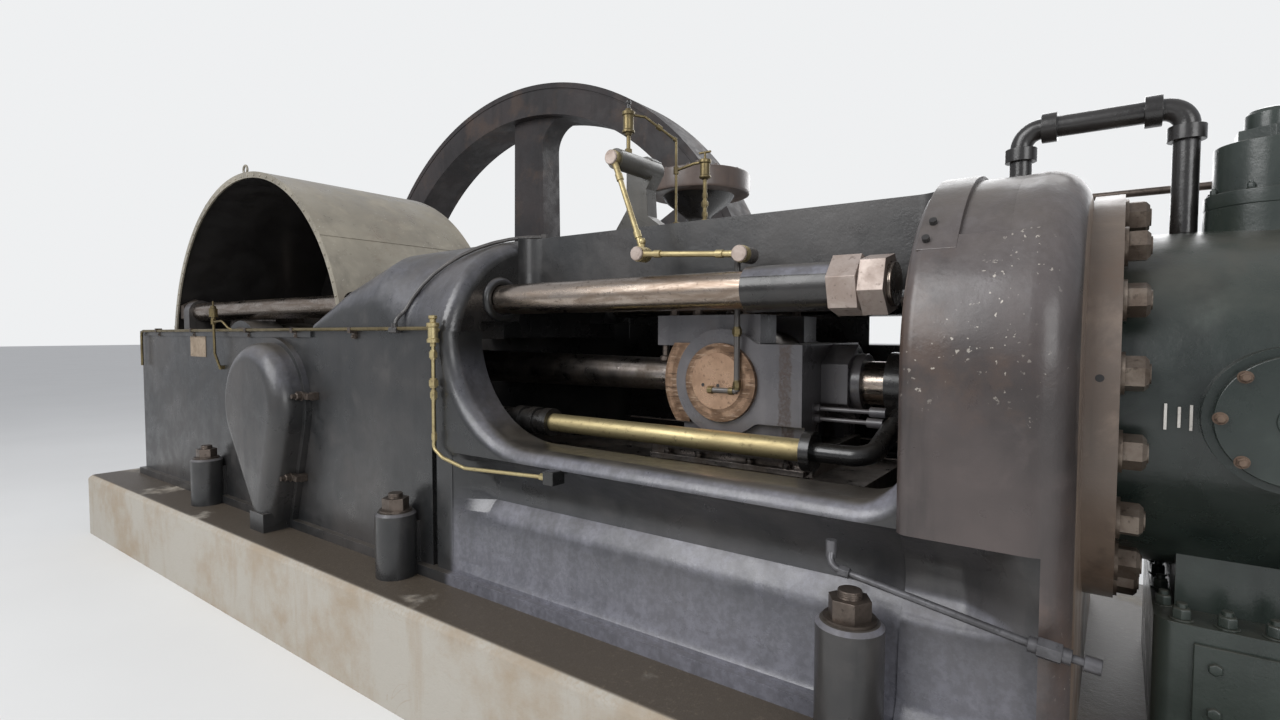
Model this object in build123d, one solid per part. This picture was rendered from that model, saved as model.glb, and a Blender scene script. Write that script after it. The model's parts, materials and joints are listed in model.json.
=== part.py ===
from build123d import *
import os
from math import cos, radians, sin, sqrt

# Stationary horizontal gas engine: one double-acting cylinder on a cast bed, a centre
# crank in two main bearings, and a spoked flywheel that dips into a pit in the foundation.
# Millimetres. X runs along the engine from the crank to the cylinder, Y is level across
# it (the flywheel side is +Y), Z is up. The origin is below the crank on the underside
# of the foundation.

# Motion
STROKE = 1219.2
ROD_LENGTH = 3170.4
CRANK_R = STROKE / 2
PIN_X = CRANK_R + ROD_LENGTH    # crosshead pin with the crank at outer dead centre

# Clearances
RUN = 0.05                  # running clearance round a shaft or rod
FACE = 0.3                  # between faces that slide or turn on each other
GAP = 10.0                  # round a moving piece that must touch nothing
HAND = 30.0                 # beyond the reach of a moving piece in a closed space

# Flywheel
WHEEL_R = 2743.0
WHEEL_RIM = 308.0           # radial depth of the rim
WHEEL_W = 450.0
WHEEL_Y = 2375.0            # middle of the rim
RIM_GROOVE_IN = 52.0        # turned groove near the rim's outer edge
RIM_GROOVE_W = 16.0
RIM_GROOVE_D = 8.0
ARM_COUNT = 6
ARM_T = 250.0
ARM_W_RIM = 400.0
ARM_W_HUB = 470.0
ARM_RIM_FILLET = 270.0
ARM_HUB_FILLET = 110.0
HUB_R = 470.0
HUB_W = 640.0

# Levels
CRANK_HEIGHT = 1440.0       # crank axis above ground level
PLINTH_HEIGHT = 480.0       # top of the raised concrete above ground level
PIT_UNDER = 107.0           # rim to the floor of the pit
PIT_SLAB = 190.0            # concrete below the pit
FLOOR_Z = PIT_SLAB + PIT_UNDER + WHEEL_R - CRANK_HEIGHT     # ground level
PLINTH_Z = FLOOR_Z + PLINTH_HEIGHT
CRANK_Z = FLOOR_Z + CRANK_HEIGHT

# Bed casting
BED_BACK = 1350.0           # crank axis to the end wall
BED_TO_PIN = 1300.0         # joint of bed and guides to the crosshead pin
BED_HALF = 800.0
BED_WALL = 160.0
BED_HEIGHT = 1650.0
BED_FLOOR = 60.0
FLANGE_OUT = 35.0           # base flange beyond the wall
FLANGE_T = 50.0
LEDGE_OUT = 14.0            # strip along the top of the bed's walls
LEDGE_H = 36.0
DECK_X0 = 1230.0            # start of the closed deck over the bed
DECK_T = 40.0
JAW_HALF_X = 430.0
JAW_IN = 30.0               # shells and caps stop this far inside the walls
BED_X1 = PIN_X - BED_TO_PIN
BED_TOP = FLOOR_Z + BED_HEIGHT
BED_INNER = BED_HALF - BED_WALL

# Shaft and crank
SHAFT_R = 195.0
SHAFT_END_R = 170.0
SHAFT_END_L = 160.0
CRANK_PIN_R = 160.0
BIG_END_HALF = 145.0
WEB_CLEAR = 5.0
WEB_T = 215.0
WEB_PIN_R = 205.0
WEB_HUB_R = 270.0
COUNTER_R = 830.0
COUNTER_HALF_Z = 430.0
WEB_Y0 = BIG_END_HALF + WEB_CLEAR

# Main bearings
SHELL_T = 45.0
CAP_R = 285.0
CAP_HALF_X = 370.0
CAP_FLANGE_T = 110.0
CAP_NUT_R = 38.0
CAP_NUT_IN = 45.0
CAP_NUT_UP = 34.0
JAW_Y0 = WEB_Y0 + WEB_T + 15.0
SHELL_R = SHAFT_R + SHELL_T

# Outboard bearing
OUT_TO_WHEEL = 630.0        # near end of the bearing beyond the rim
OUT_LEN = 500.0
OUT_BASE_HALF = 470.0
OUT_BASE_T = 90.0
OUT_FOOT = 40.0
OUT_HALF_X = 300.0
OUT_CENTRE = 520.0          # shaft axis above the pier
OUT_Y0 = WHEEL_Y + WHEEL_W / 2 + OUT_TO_WHEEL
SHAFT_STEP_Y = OUT_Y0 + OUT_LEN + GAP
PIER_TOP = CRANK_Z - OUT_CENTRE
PIER_HALF_X = 620.0
PIER_MARGIN = 100.0
PLINTH_CHAMFER = 25.0

# Guide casting, between the bed and the cylinder
PIN_TO_ADAPTER = 830.0
PORTAL_T = 120.0            # wall that closes the bed at the crosshead
SILL_HEIGHT = 1150.0        # lower lip of the side windows
BEAM_HEIGHT = 2130.0
BEAM_UNDER_HEIGHT = 1800.0
BEAM_HALF = 260.0
BEAM_FILLET = 120.0
BEAM_ROOT = 90.0            # fillets in plan at both ends of the beam
WINDOW_R_CRANK = 500.0      # lower corners of the side windows
WINDOW_R_CYL = 130.0
LIP_R = 70.0                # rounded edge all round a window
PASSAGE_HALF = 595.0
PASSAGE_HEIGHT = 1700.0     # top of the wide passage through the portal
PASSAGE_FLOOR = 1010.0
SLOT_HALF = 345.0           # crosshead clearance under the roof
JOINT_GROOVE_W = 36.0       # upright groove between bed and guides
JOINT_GROOVE_D = 22.0
ROOF = (                    # distance before the portal's face, height, corner radius
    (1210.0, 1700.0, 40.0), (910.0, 1890.0, 150.0), (600.0, 2070.0, 330.0),
    (300.0, 2125.0, 580.0), (0.0, BEAM_HEIGHT, 580.0))
GUIDE_X1 = PIN_X + PIN_TO_ADAPTER
PORTAL_X1 = BED_X1 + PORTAL_T
SILL_Z = FLOOR_Z + SILL_HEIGHT
BEAM_TOP = FLOOR_Z + BEAM_HEIGHT
BEAM_UNDER = FLOOR_Z + BEAM_UNDER_HEIGHT
PASSAGE_Z0 = FLOOR_Z + PASSAGE_FLOOR

# Recess along the skirt below the windows: depth and height above ground of each corner
SKIRT = (
    (0.0, 1092.0), (40.0, 1062.0), (88.0, 1000.0), (108.0, 930.0), (100.0, 880.0),
    (56.0, 826.0), (40.0, 760.0), (26.0, 590.0), (-8.0, 532.0))
SKIRT_DEPTH = 108.0
SKIRT_START = 30.0          # portal to the recess
SKIRT_END = 70.0            # recess to the cylinder end of the adapter
SKIRT_RUN = 190.0           # over which the recess deepens at both ends
SKIRT_EDGE = 0.04           # share of the depth at the very ends

# Cylinder adapter
ADAPTER_LENGTH = 420.0
ADAPTER_HALF = 850.0
ADAPTER_HEIGHT = 2145.0
ADAPTER_CAVITY_HALF = 560.0
ADAPTER_WALL = 130.0
SHOULDER_R = 600.0
ADAPTER_END_R = 110.0
ADAPTER_STEP_R = 42.0
STRAP_X0 = 60.0
STRAP_W = 190.0
STRAP_T = 16.0
STRAP_LOW = 1930.0
JOINT_R = 655.0             # bolted flanges of the cylinder
JOINT_T = 77.0
ADAPTER_X1 = GUIDE_X1 + ADAPTER_LENGTH

# Foundation-bolt bosses on the bed and beside the guides
ANCHOR_R = 95.0
ANCHOR_OUT = 95.0           # beyond the wall
ANCHOR_HEIGHT = 790.0
ANCHOR_CHAMFER = 12.0
ANCHOR_RIB = 60.0
ANCHOR_NUT_R = 62.0
ANCHOR_NUT_T = 65.0
ANCHOR_STUD_R = 33.0
ANCHOR_STUD_UP = 22.0
ANCHOR_X = 130.0            # first boss past the crank axis
ANCHOR_TO_JOINT = 158.0
ANCHOR_TO_GUIDE_END = 100.0
ANCHOR_GUIDE_UP = 50.0      # the boss beside the guides stands higher
ANCHORS_BED = (ANCHOR_X, BED_X1 - ANCHOR_TO_JOINT)
ANCHORS_GUIDE = (GUIDE_X1 - ANCHOR_TO_GUIDE_END,)
ANCHOR_TOP = FLOOR_Z + ANCHOR_HEIGHT
ANCHOR_Y = BED_HALF + ANCHOR_OUT

# Tie rods
TIE_R = 73.0
TIE_Y = 470.0
TIE_HEIGHT = 1808.0
TIE_END = 120.0             # inside the bed's end wall
TIE_TO_GUIDE_END = 100.0
TIE_LUG_R = 95.0
TIE_LUG_L = 110.0
TIE_LUG_IN = 70.0
TIE_BOSS_R = 86.0
TIE_BOSS_L = 330.0
TIE_NUT_R = 108.0
TIE_NUT_TURN = 13.0
TIE_NUT_L = 100.0
TIE_LOCK_NUT_L = 84.0
TIE_NUT_SPACE = 5.0
TIE_WEB_T = 60.0
TIE_STUB = 16.0             # rod beyond its lock nut
TIE_Z = FLOOR_Z + TIE_HEIGHT
TIE_X0 = -BED_BACK + TIE_END
TIE_X1 = GUIDE_X1 - TIE_TO_GUIDE_END
TIE_BOSS_X1 = TIE_X1 - TIE_NUT_L - TIE_NUT_SPACE - TIE_LOCK_NUT_L - TIE_STUB

# Cylinder
CYL_R = 520.0
CYL_LENGTH = 2586.0
BORE_R = 304.8
BORE_SPARE = 115.4          # bore beyond the piston at each end of its stroke
PISTON_LENGTH = 550.0
BORE_LENGTH = STROKE + PISTON_LENGTH + 2 * BORE_SPARE
HEAD_T = 90.0
HEAD_BOSS_R = 230.0
HEAD_BOSS_T = 60.0
VALVE_IN = 343.0            # valve centre from each end of the barrel
COVER_R = 158.0
COVER_T = 30.0
COVER_RIM = 20.0
COVER_PAD = 40.0            # pads beyond the barrel
BONNET_R = 128.0
BONNET_HEIGHT = 2210.0
BONNET_FLANGE_T = 45.0
BONNET_STEM_R = 60.0
BONNET_STEM_UP = 90.0
SEAT_UP = 60.0              # valve seats beyond the barrel
CHEST_HALF_X = 250.0
CHEST_HALF_Y = 430.0
CHEST_FILLET = 50.0
NECK_HALF_X = 200.0
NECK_HALF_Y = 300.0
EXHAUST_BORE_R = 100.0
EXHAUST_FLANGE_R = 178.0
EXHAUST_FLANGE_T = 35.0
EXHAUST_OUT = 60.0
EXHAUST_PIPE_T = 30.0
EXHAUST_PCD = 290.0
EXHAUST_BOLTS = 8
EXHAUST_BOLT_R = 11.0
EXHAUST_DEPTH = 350.0
CYL_X0 = ADAPTER_X1 + JOINT_T
CYL_X1 = CYL_X0 + CYL_LENGTH
CYL_MID = CYL_X0 + CYL_LENGTH / 2
VALVES_X = (CYL_X0 + VALVE_IN, CYL_X1 - VALVE_IN)
COVER_FACE_Y = CYL_R + COVER_PAD
SEAT_Z = CRANK_Z + CYL_R + SEAT_UP
BONNET_TOP = FLOOR_Z + BONNET_HEIGHT

# Running gear
PISTON_ROD_R = 90.0
TAIL_MARGIN = 65.0          # tail rod to the end of its guard
SMALL_END_R = 215.0
SHANK_R_SMALL = 75.0
SHANK_R_BIG = 108.0
BIG_END_BACK = 230.0
BIG_END_FRONT = 330.0
BIG_END_R = 110.0
BIG_END_HALF_Z = 250.0
HEAD_PIN_R = 163.0
HEAD_PIN_OUT = 20.0
HEAD_HALF = 330.0           # outside of the crosshead's cheeks
CHEEK_R = 222.0
CHEEK_LENGTH = 350.0
CHEEK_HALF_Z = 160.0
CHEEK_FILLET = 60.0
YOKE_T = 125.0
BRACKET_BACK = 340.0
BRACKET_FRONT = 160.0
BRACKET_Z0 = 150.0
BRACKET_Z1 = 280.0
BRACKET_IN = 30.0
LEG_BACK = 200.0
LEG_Z0 = 260.0
LEG_Z1 = 100.0
SLIPPER_HALF_X = 380.0
SLIPPER_HALF_Y = 290.0
GUIDE_BAR_T = 70.0
GUIDE_BAR_HALF = 300.0
GUIDE_BAR_BACK = 300.0
GUIDE_BAR_END = 250.0
GLAND_TO_GUIDE = 50.0
GLAND_R = 135.0
GLAND_FLANGE_R = 185.0
GLAND_FLANGE_T = 90.0
SLOT_X0 = PIN_X - STROKE - SLIPPER_HALF_X - HAND
GLAND_X0 = GUIDE_X1 + GLAND_TO_GUIDE
PISTON_MID = CYL_MID + CRANK_R

# Tail rod, its guard and the guard's support
TAIL_ROD_LENGTH = 1800.0
GUARD_R = 170.0
GUARD_T = 14.0
GUARD_COLLAR_T = 40.0
GUARD_SUPPORT_IN = 320.0
SUPPORT_HALF_X = 90.0
SUPPORT_HALF_Y = 130.0
SUPPORT_FOOT_HALF_X = 160.0
SUPPORT_FOOT_HALF_Y = 260.0
SUPPORT_FOOT_T = 50.0
GUARD_X0 = CYL_X1 + HEAD_T + HEAD_BOSS_T
GUARD_X1 = PISTON_MID + PISTON_LENGTH / 2 + TAIL_ROD_LENGTH + TAIL_MARGIN
SUPPORT_X = GUARD_X1 - GUARD_SUPPORT_IN

# Foundation
PLINTH_HALF = 1110.0
PLINTH_MARGIN = 300.0
PIT_END = 145.0             # pit wall to rim at ground level
PIT_SIDE = 110.0
PIT_WALL = 300.0
BLOCK_MARGIN = 220.0
PIER_Y0 = OUT_Y0 - PIER_MARGIN
PIER_Y1 = OUT_Y0 + OUT_LEN + PIER_MARGIN
BLOCK_Y1 = OUT_Y0 + OUT_LEN + BLOCK_MARGIN
PIT_X = sqrt(WHEEL_R ** 2 - CRANK_HEIGHT ** 2) + PIT_END
PLINTH_X0 = -BED_BACK - PLINTH_MARGIN
PLINTH_X1 = SUPPORT_X + PLINTH_MARGIN

# Hood over the crank
HOOD_R = 1340.0
HOOD_T = 12.0
HOOD_NEAR = 580.0
HOOD_FAR = 630.0
HOOD_STRIP = 42.0           # angle strip round the open end
HOOD_HOLE = 15.0            # round the tie rods

# Teardrop cover on the bed's near wall
TEAR_X = 960.0
TEAR_HEIGHT = 1210.0
TEAR_R = 370.0
TEAR_TOE_X = 1060.0
TEAR_TOE_HALF = 85.0
TEAR_TOE_H = 320.0
TEAR_OUT = 185.0
TEAR_ROUND = 105.0
TEAR_RIM = 30.0
TEAR_RIM_T = 34.0
TEAR_FOOT_H = 60.0

# Governor drum on the far side, and its rod to the valve levers
GOVERNOR_PAST_PORTAL = 260.0
GOVERNOR_Y = 1000.0
GOVERNOR_HEIGHT = 2456.0
DRUM_R = 325.0
DRUM_H = 208.0
DRUM_RIM_H = 26.0
DRUM_RIM_OUT = 8.0
CONE_R_TOP = 220.0
CONE_R_LOW = 90.0
CONE_H = 110.0
STAND_R = 70.0
STAND_FOOT_X = 110.0
STAND_FOOT_LOW = 1400.0
STAND_FOOT_HIGH = 1600.0
LEVER_HEIGHT = 2240.0
LEVER_HALF = 22.0
LEVER_Y = 800.0
REACH_R = 16.0
GOVERNOR_X = PORTAL_X1 + GOVERNOR_PAST_PORTAL
GOVERNOR_Z = FLOOR_Z + GOVERNOR_HEIGHT
LEVER_Z = FLOOR_Z + LEVER_HEIGHT

# Oiler linkage on the near side; pivots are placed from the crosshead pin and the ground
OIL_PIVOT_BACK = 509.0
OIL_PIVOT_HEIGHT = 2420.0
OIL_KNUCKLE_BACK = 340.0
OIL_KNUCKLE_HEIGHT = 1981.0
OIL_END_FRONT = 147.0
OIL_END_HEIGHT = 1948.0
OIL_UPPER_Y = -407.0
OIL_TUBE_R = 12.0
OIL_KNUCKLE_R = 33.0
OIL_KNUCKLE_T = 26.0
OIL_PIN_R = 10.0
OIL_PIN_HEAD = 6.0
OPEN_PIVOT = 6.0            # gap between the links where the linkage is opened
RISER_PAST_PIN = 88.0
RISER_FOOT = 40.0
RISER_DROP = 30.0
OILER_BOSS_R = 46.0
OILER_ARM_T = 80.0
OILER_ARM_Y = -150.0
OILER_FOOT = ((-195.0, 0.0), (80.0, 0.0), (72.0, 22.0), (4.0, 70.0))    # from the pivot in X, up from the beam
OILER_HEAD = ((-4.0, -90.0), (30.0, -40.0), (30.0, 42.0), (0.0, 62.0), (-104.0, 62.0), (-124.0, 30.0))
OILER_WAIST = ((-124.0, 110.0), (-188.0, 24.0))
OIL_PIVOT = (PIN_X - OIL_PIVOT_BACK, FLOOR_Z + OIL_PIVOT_HEIGHT)
OIL_KNUCKLE = (PIN_X - OIL_KNUCKLE_BACK, FLOOR_Z + OIL_KNUCKLE_HEIGHT)
OIL_END = (PIN_X + OIL_END_FRONT, FLOOR_Z + OIL_END_HEIGHT)
RISER_X = PIN_X + RISER_PAST_PIN
OIL_LOWER_Y = OIL_UPPER_Y - OIL_KNUCKLE_T - OPEN_PIVOT
RISER_Y = -HEAD_HALF - HEAD_PIN_OUT - OIL_TUBE_R

# Telescopic cooling tube beside the crosshead
COOL_Y = -440.0
COOL_HEIGHT = 1216.0
COOL_R = 42.0
COOL_SLEEVE_R = 54.0
COOL_GLAND_R = 66.0
COOL_GLAND_L = 330.0
COOL_COLLAR_L = 46.0
COOL_OVERLAP = 230.0        # tube that stays in its sleeve
COOL_PAST_PIN = 410.0
COOL_FLANGE_R = 74.0
COOL_FLANGE_T = 38.0
ELBOW_R = 36.0
ELBOW_BEND = 70.0
ELBOW_RUN = 200.0
CLAMP_R = 128.0
CLAMP_L = 110.0
COOL_END_X = PIN_X + COOL_PAST_PIN
COOL_Z = FLOOR_Z + COOL_HEIGHT

# Water pipe over the adapter, from the guides to the cylinder
WATER_IN = 193.0            # from the start of the adapter
WATER_TO_VALVE = 193.0
WATER_HEIGHT = 2360.0
WATER_R = 35.0
WATER_BEND = 62.0
UNION_R = 50.0
UNION_L = 46.0
WATER_X0 = GUIDE_X1 + WATER_IN
WATER_X1 = VALVES_X[0] - WATER_TO_VALVE


def block(x0, x1, y0, y1, z0, z1):
    """Rectangular block between two corners."""
    return Pos((x0 + x1) / 2, (y0 + y1) / 2, (z0 + z1) / 2) * Box(x1 - x0, y1 - y0, z1 - z0)


def rod_x(r, x0, x1, y, z):
    """Round bar along X."""
    return Pos((x0 + x1) / 2, y, z) * Rot(0, 90, 0) * Cylinder(r, x1 - x0)


def rod_y(r, y0, y1, x, z):
    """Round bar along Y."""
    return Pos(x, (y0 + y1) / 2, z) * Rot(90, 0, 0) * Cylinder(r, y1 - y0)


def rod_z(r, z0, z1, x, y):
    """Round bar upright."""
    return Pos(x, y, (z0 + z1) / 2) * Cylinder(r, z1 - z0)


def hex_x(r, x0, x1, y, z, turn):
    """Hexagon nut along X, r to its corners, turned from having corners level on each side."""
    face = Plane(origin=(x0, y, z), x_dir=(0, 1, 0), z_dir=(1, 0, 0)) * Rot(0, 0, turn) * RegularPolygon(r, 6)
    return extrude(face, amount=x1 - x0)


def hex_z(r, z0, z1, x, y):
    """Hexagon nut upright, r across its corners."""
    return extrude(Pos(x, y, z0) * RegularPolygon(r, 6), amount=z1 - z0)


def cut_y(sketch, y0, y1):
    """A sketch drawn in X and Z, extruded from y0 to y1."""
    plane = Plane(origin=(0, y1, 0), x_dir=(1, 0, 0), z_dir=(0, -1, 0))
    return extrude(plane * sketch, amount=y1 - y0)


def pipe(points, r, bend):
    """Round pipe through points, with an elbow of one radius at each corner."""
    path = FilletPolyline(*points, radius=bend)
    return sweep(Plane(origin=path @ 0, z_dir=path % 0) * Circle(r), path=path)


def mirrored(solid):
    """The solid's mirror image across the engine's centreline."""
    return mirror(solid, Plane.XZ)


def both(solid):
    """The solid and its mirror image."""
    return Compound([solid, mirrored(solid)])


def foundation_block():
    """Raised concrete under the engine."""
    plinth = block(PLINTH_X0, PLINTH_X1, -PLINTH_HALF, PLINTH_HALF, 0, PLINTH_Z)
    return chamfer(plinth.edges().group_by(Axis.Z)[-1], PLINTH_CHAMFER)


def wheel_pit():
    """Concrete bay beside the engine, with the flywheel's pit."""
    bay = block(-PIT_X - PIT_WALL, PIT_X + PIT_WALL, PLINTH_HALF, BLOCK_Y1, 0, FLOOR_Z)
    half = WHEEL_W / 2 + PIT_SIDE
    return bay - block(-PIT_X, PIT_X, WHEEL_Y - half, WHEEL_Y + half, PIT_SLAB, FLOOR_Z)


def outboard_pier():
    """Concrete pier under the outboard bearing."""
    pier = block(-PIER_HALF_X, PIER_HALF_X, PIER_Y0, PIER_Y1, FLOOR_Z, PIER_TOP)
    return chamfer(pier.edges().group_by(Axis.Z)[-1], PLINTH_CHAMFER)


def anchor_bosses(places, top):
    """Upright bosses beside the castings that take the foundation bolts."""
    bosses = []
    for x in places:
        boss = rod_z(ANCHOR_R, PLINTH_Z, top, x, ANCHOR_Y)
        boss = chamfer(boss.edges().group_by(Axis.Z)[-1], ANCHOR_CHAMFER)
        rib_y0, rib_top = BED_HALF - SKIRT_DEPTH - GAP, top - ANCHOR_RIB
        bosses.append(boss + block(x - ANCHOR_RIB, x + ANCHOR_RIB, rib_y0, ANCHOR_Y, PLINTH_Z, rib_top))
    return both(Compound(bosses))


def crank_bed():
    """Hollow bed with the bearing jaws, the deck towards the guides and the tie-rod lugs."""
    outer = block(-BED_BACK, BED_X1, -BED_HALF, BED_HALF, PLINTH_Z, BED_TOP)
    flange_half = BED_HALF + FLANGE_OUT
    outer += block(-BED_BACK - FLANGE_OUT, BED_X1, -flange_half, flange_half, PLINTH_Z, PLINTH_Z + FLANGE_T)
    ledge_half = BED_HALF + LEDGE_OUT
    ledge_x1 = PORTAL_X1 - ROOF[0][0]
    outer += block(-BED_BACK, ledge_x1, -ledge_half, ledge_half, BED_TOP - LEDGE_H, BED_TOP)
    floor_z = PLINTH_Z + BED_FLOOR
    bed = outer - block(-BED_BACK + BED_WALL, BED_X1, -BED_INNER, BED_INNER, floor_z, BED_TOP)
    jaw = block(-JAW_HALF_X, JAW_HALF_X, JAW_Y0, BED_INNER, floor_z, CRANK_Z)
    deck = block(DECK_X0, BED_X1, -BED_INNER, BED_INNER, BED_TOP - DECK_T, BED_TOP)
    deck -= block(SLOT_X0, BED_X1, -SLOT_HALF, SLOT_HALF, BED_TOP - DECK_T, BED_TOP)
    bed += both(jaw) + deck
    bed -= rod_y(SHELL_R, -BED_INNER, BED_INNER, 0, CRANK_Z)
    slot_half = SHAFT_R + GAP
    bed -= rod_y(slot_half, BED_INNER, BED_HALF + LEDGE_OUT, 0, CRANK_Z)
    bed -= block(-slot_half, slot_half, BED_INNER, BED_HALF + LEDGE_OUT, CRANK_Z, BED_TOP)
    lug_x1 = TIE_X0 + TIE_LUG_IN + TIE_LUG_L
    lug = block(-BED_BACK, lug_x1, TIE_Y - TIE_LUG_R, TIE_Y + TIE_LUG_R, BED_TOP - DECK_T, TIE_Z)
    lug += rod_x(TIE_LUG_R, TIE_X0 + TIE_LUG_IN, lug_x1, TIE_Y, TIE_Z)
    lug -= block(-BED_BACK, TIE_X0 + TIE_LUG_IN, TIE_Y - TIE_LUG_R, TIE_Y + TIE_LUG_R, BED_TOP, TIE_Z)
    bed += both(lug - rod_x(TIE_R, TIE_X0, lug_x1, TIE_Y, TIE_Z))
    return bed + anchor_bosses(ANCHORS_BED, ANCHOR_TOP)


def bearing_shells():
    """Lined shell that fills the bore of each main bearing."""
    y1 = BED_INNER - JAW_IN
    shell = rod_y(SHELL_R, JAW_Y0, y1, 0, CRANK_Z) - rod_y(SHAFT_R + RUN, JAW_Y0, y1, 0, CRANK_Z)
    return both(shell)


def bearing_caps():
    """Arched cap over each main bearing with four nuts on its flange."""
    y1 = BED_INNER - JAW_IN
    flange_z = CRANK_Z + CAP_FLANGE_T
    cap = block(-CAP_HALF_X, CAP_HALF_X, JAW_Y0, y1, CRANK_Z, flange_z)
    cap += rod_y(CAP_R, JAW_Y0, y1, 0, CRANK_Z) & block(-CAP_R, CAP_R, JAW_Y0, y1, CRANK_Z, CRANK_Z + CAP_R)
    cap -= rod_y(SHELL_R, JAW_Y0, y1, 0, CRANK_Z)
    for x in (-CAP_HALF_X + CAP_NUT_IN, CAP_HALF_X - CAP_NUT_IN):
        for y in (JAW_Y0 + CAP_NUT_IN, y1 - CAP_NUT_IN):
            cap += hex_z(CAP_NUT_R, flange_z, flange_z + CAP_NUT_UP, x, y)
    return both(cap)


def crank_web(y0, y1):
    """Web with its counterweight; the crank pin stands toward +X."""
    web = Pos(0, CRANK_Z) * Circle(WEB_HUB_R) + Pos(CRANK_R, CRANK_Z) * Circle(WEB_PIN_R)
    neck = Polygon(
        (0, CRANK_Z - WEB_HUB_R), (CRANK_R, CRANK_Z - WEB_PIN_R),
        (CRANK_R, CRANK_Z + WEB_PIN_R), (0, CRANK_Z + WEB_HUB_R), align=None)
    counter = Pos(0, CRANK_Z) * Circle(COUNTER_R)
    counter &= Pos(-COUNTER_R / 2, CRANK_Z) * Rectangle(COUNTER_R, 2 * COUNTER_HALF_Z)
    return cut_y(web + neck + counter, y0, y1)


def crankshaft():
    """Far journal with its web, out to the flywheel and the outboard bearing."""
    y0 = WEB_Y0 + WEB_T
    shaft = rod_y(SHAFT_R, y0, SHAFT_STEP_Y, 0, CRANK_Z)
    shaft += rod_y(SHAFT_END_R, SHAFT_STEP_Y, SHAFT_STEP_Y + SHAFT_END_L, 0, CRANK_Z)
    return crank_web(WEB_Y0, y0) + shaft


def near_crank():
    """Near journal with its web."""
    y1 = -WEB_Y0 - WEB_T
    return crank_web(y1, -WEB_Y0) + rod_y(SHAFT_R, -BED_INNER + FACE, y1, 0, CRANK_Z)


def flywheel_rim():
    """Rim with a turned groove near its outer edge on both faces."""
    ring = Pos(0, CRANK_Z) * (Circle(WHEEL_R) - Circle(WHEEL_R - WHEEL_RIM))
    rim = cut_y(ring, WHEEL_Y - WHEEL_W / 2, WHEEL_Y + WHEEL_W / 2)
    groove_r = WHEEL_R - RIM_GROOVE_IN
    groove = Pos(0, CRANK_Z) * (Circle(groove_r) - Circle(groove_r - RIM_GROOVE_W))
    for side in (-1, 1):
        y = WHEEL_Y + side * (WHEEL_W - RIM_GROOVE_D) / 2
        rim -= cut_y(groove, y - RIM_GROOVE_D / 2, y + RIM_GROOVE_D / 2)
    return rim


def flywheel_spider():
    """Hub and arms, with wide fillets where the arms meet the rim and the hub."""
    r_in = WHEEL_R - WHEEL_RIM
    arm = Polygon(
        (0, -ARM_W_HUB / 2), (WHEEL_R, -ARM_W_RIM / 2),
        (WHEEL_R, ARM_W_RIM / 2), (0, ARM_W_HUB / 2), align=None)
    gaps = Rot(0, 0, 90) * Circle(r_in)
    for n in range(ARM_COUNT):
        gaps -= Rot(0, 0, 90 + n * 360 / ARM_COUNT) * arm
    star = Circle(r_in)
    for gap in gaps.faces():
        gap = fillet(gap.vertices().sort_by_distance((0, 0, 0))[0], ARM_HUB_FILLET)
        star -= fillet(gap.vertices().sort_by_distance((0, 0, 0))[-2:], ARM_RIM_FILLET)
    arms = cut_y(Pos(0, CRANK_Z) * star, WHEEL_Y - ARM_T / 2, WHEEL_Y + ARM_T / 2)
    hub = rod_y(HUB_R, WHEEL_Y - HUB_W / 2, WHEEL_Y + HUB_W / 2, 0, CRANK_Z)
    return arms + hub - rod_y(SHAFT_R, WHEEL_Y - HUB_W / 2, WHEEL_Y + HUB_W / 2, 0, CRANK_Z)


def outboard_pedestal():
    """Pedestal of the outboard bearing, up to the middle of the shaft."""
    y1 = OUT_Y0 + OUT_LEN
    base = block(-OUT_BASE_HALF, OUT_BASE_HALF, OUT_Y0 - OUT_FOOT, y1 + OUT_FOOT, PIER_TOP, PIER_TOP + OUT_BASE_T)
    body = block(-OUT_HALF_X, OUT_HALF_X, OUT_Y0, y1, PIER_TOP, CRANK_Z)
    return base + body - rod_y(SHAFT_R + RUN, OUT_Y0, y1, 0, CRANK_Z)


def outboard_cap():
    """Half-round cap of the outboard bearing."""
    y1 = OUT_Y0 + OUT_LEN
    cap = Pos(0, CRANK_Z) * Circle(OUT_HALF_X)
    cap &= Pos(0, CRANK_Z + OUT_HALF_X / 2) * Rectangle(2 * OUT_HALF_X, OUT_HALF_X)
    return cut_y(cap, OUT_Y0, y1) - rod_y(SHAFT_R + RUN, OUT_Y0, y1, 0, CRANK_Z)


def shoulder_face(x, z1, half, radius):
    """Cross-section at X = x with rounded shoulders at height z1."""
    z0 = CRANK_Z
    outline = Plane(origin=(x, 0, z0), x_dir=(0, 1, 0), z_dir=(1, 0, 0)) * (
        Pos(0, (z1 - z0) / 2) * Rectangle(2 * half, z1 - z0))
    return fillet(outline.vertices().group_by(Axis.Z)[-1], radius)


def skirt_face(x, share):
    """Outline at X = x of what the hollow takes away, at a share of its full depth."""
    corners = [(BED_HALF - depth * share, FLOOR_Z + z) for depth, z in SKIRT]
    outer_y = BED_HALF + ADAPTER_HALF
    outline = Polygon(*corners, (outer_y, corners[-1][1]), (outer_y, corners[0][1]), align=None)
    return Plane(origin=(x, 0, 0), x_dir=(0, 1, 0), z_dir=(1, 0, 0)) * outline


def skirt_recess():
    """The hollow along both skirts, which runs out gently at both ends."""
    x0, x1 = PORTAL_X1 + SKIRT_START, ADAPTER_X1 - SKIRT_END
    stations = ((x0, SKIRT_EDGE), (x0 + SKIRT_RUN, 1), (x1 - SKIRT_RUN, 1), (x1, SKIRT_EDGE))
    return both(loft([skirt_face(x, share) for x, share in stations], ruled=True))


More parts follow.
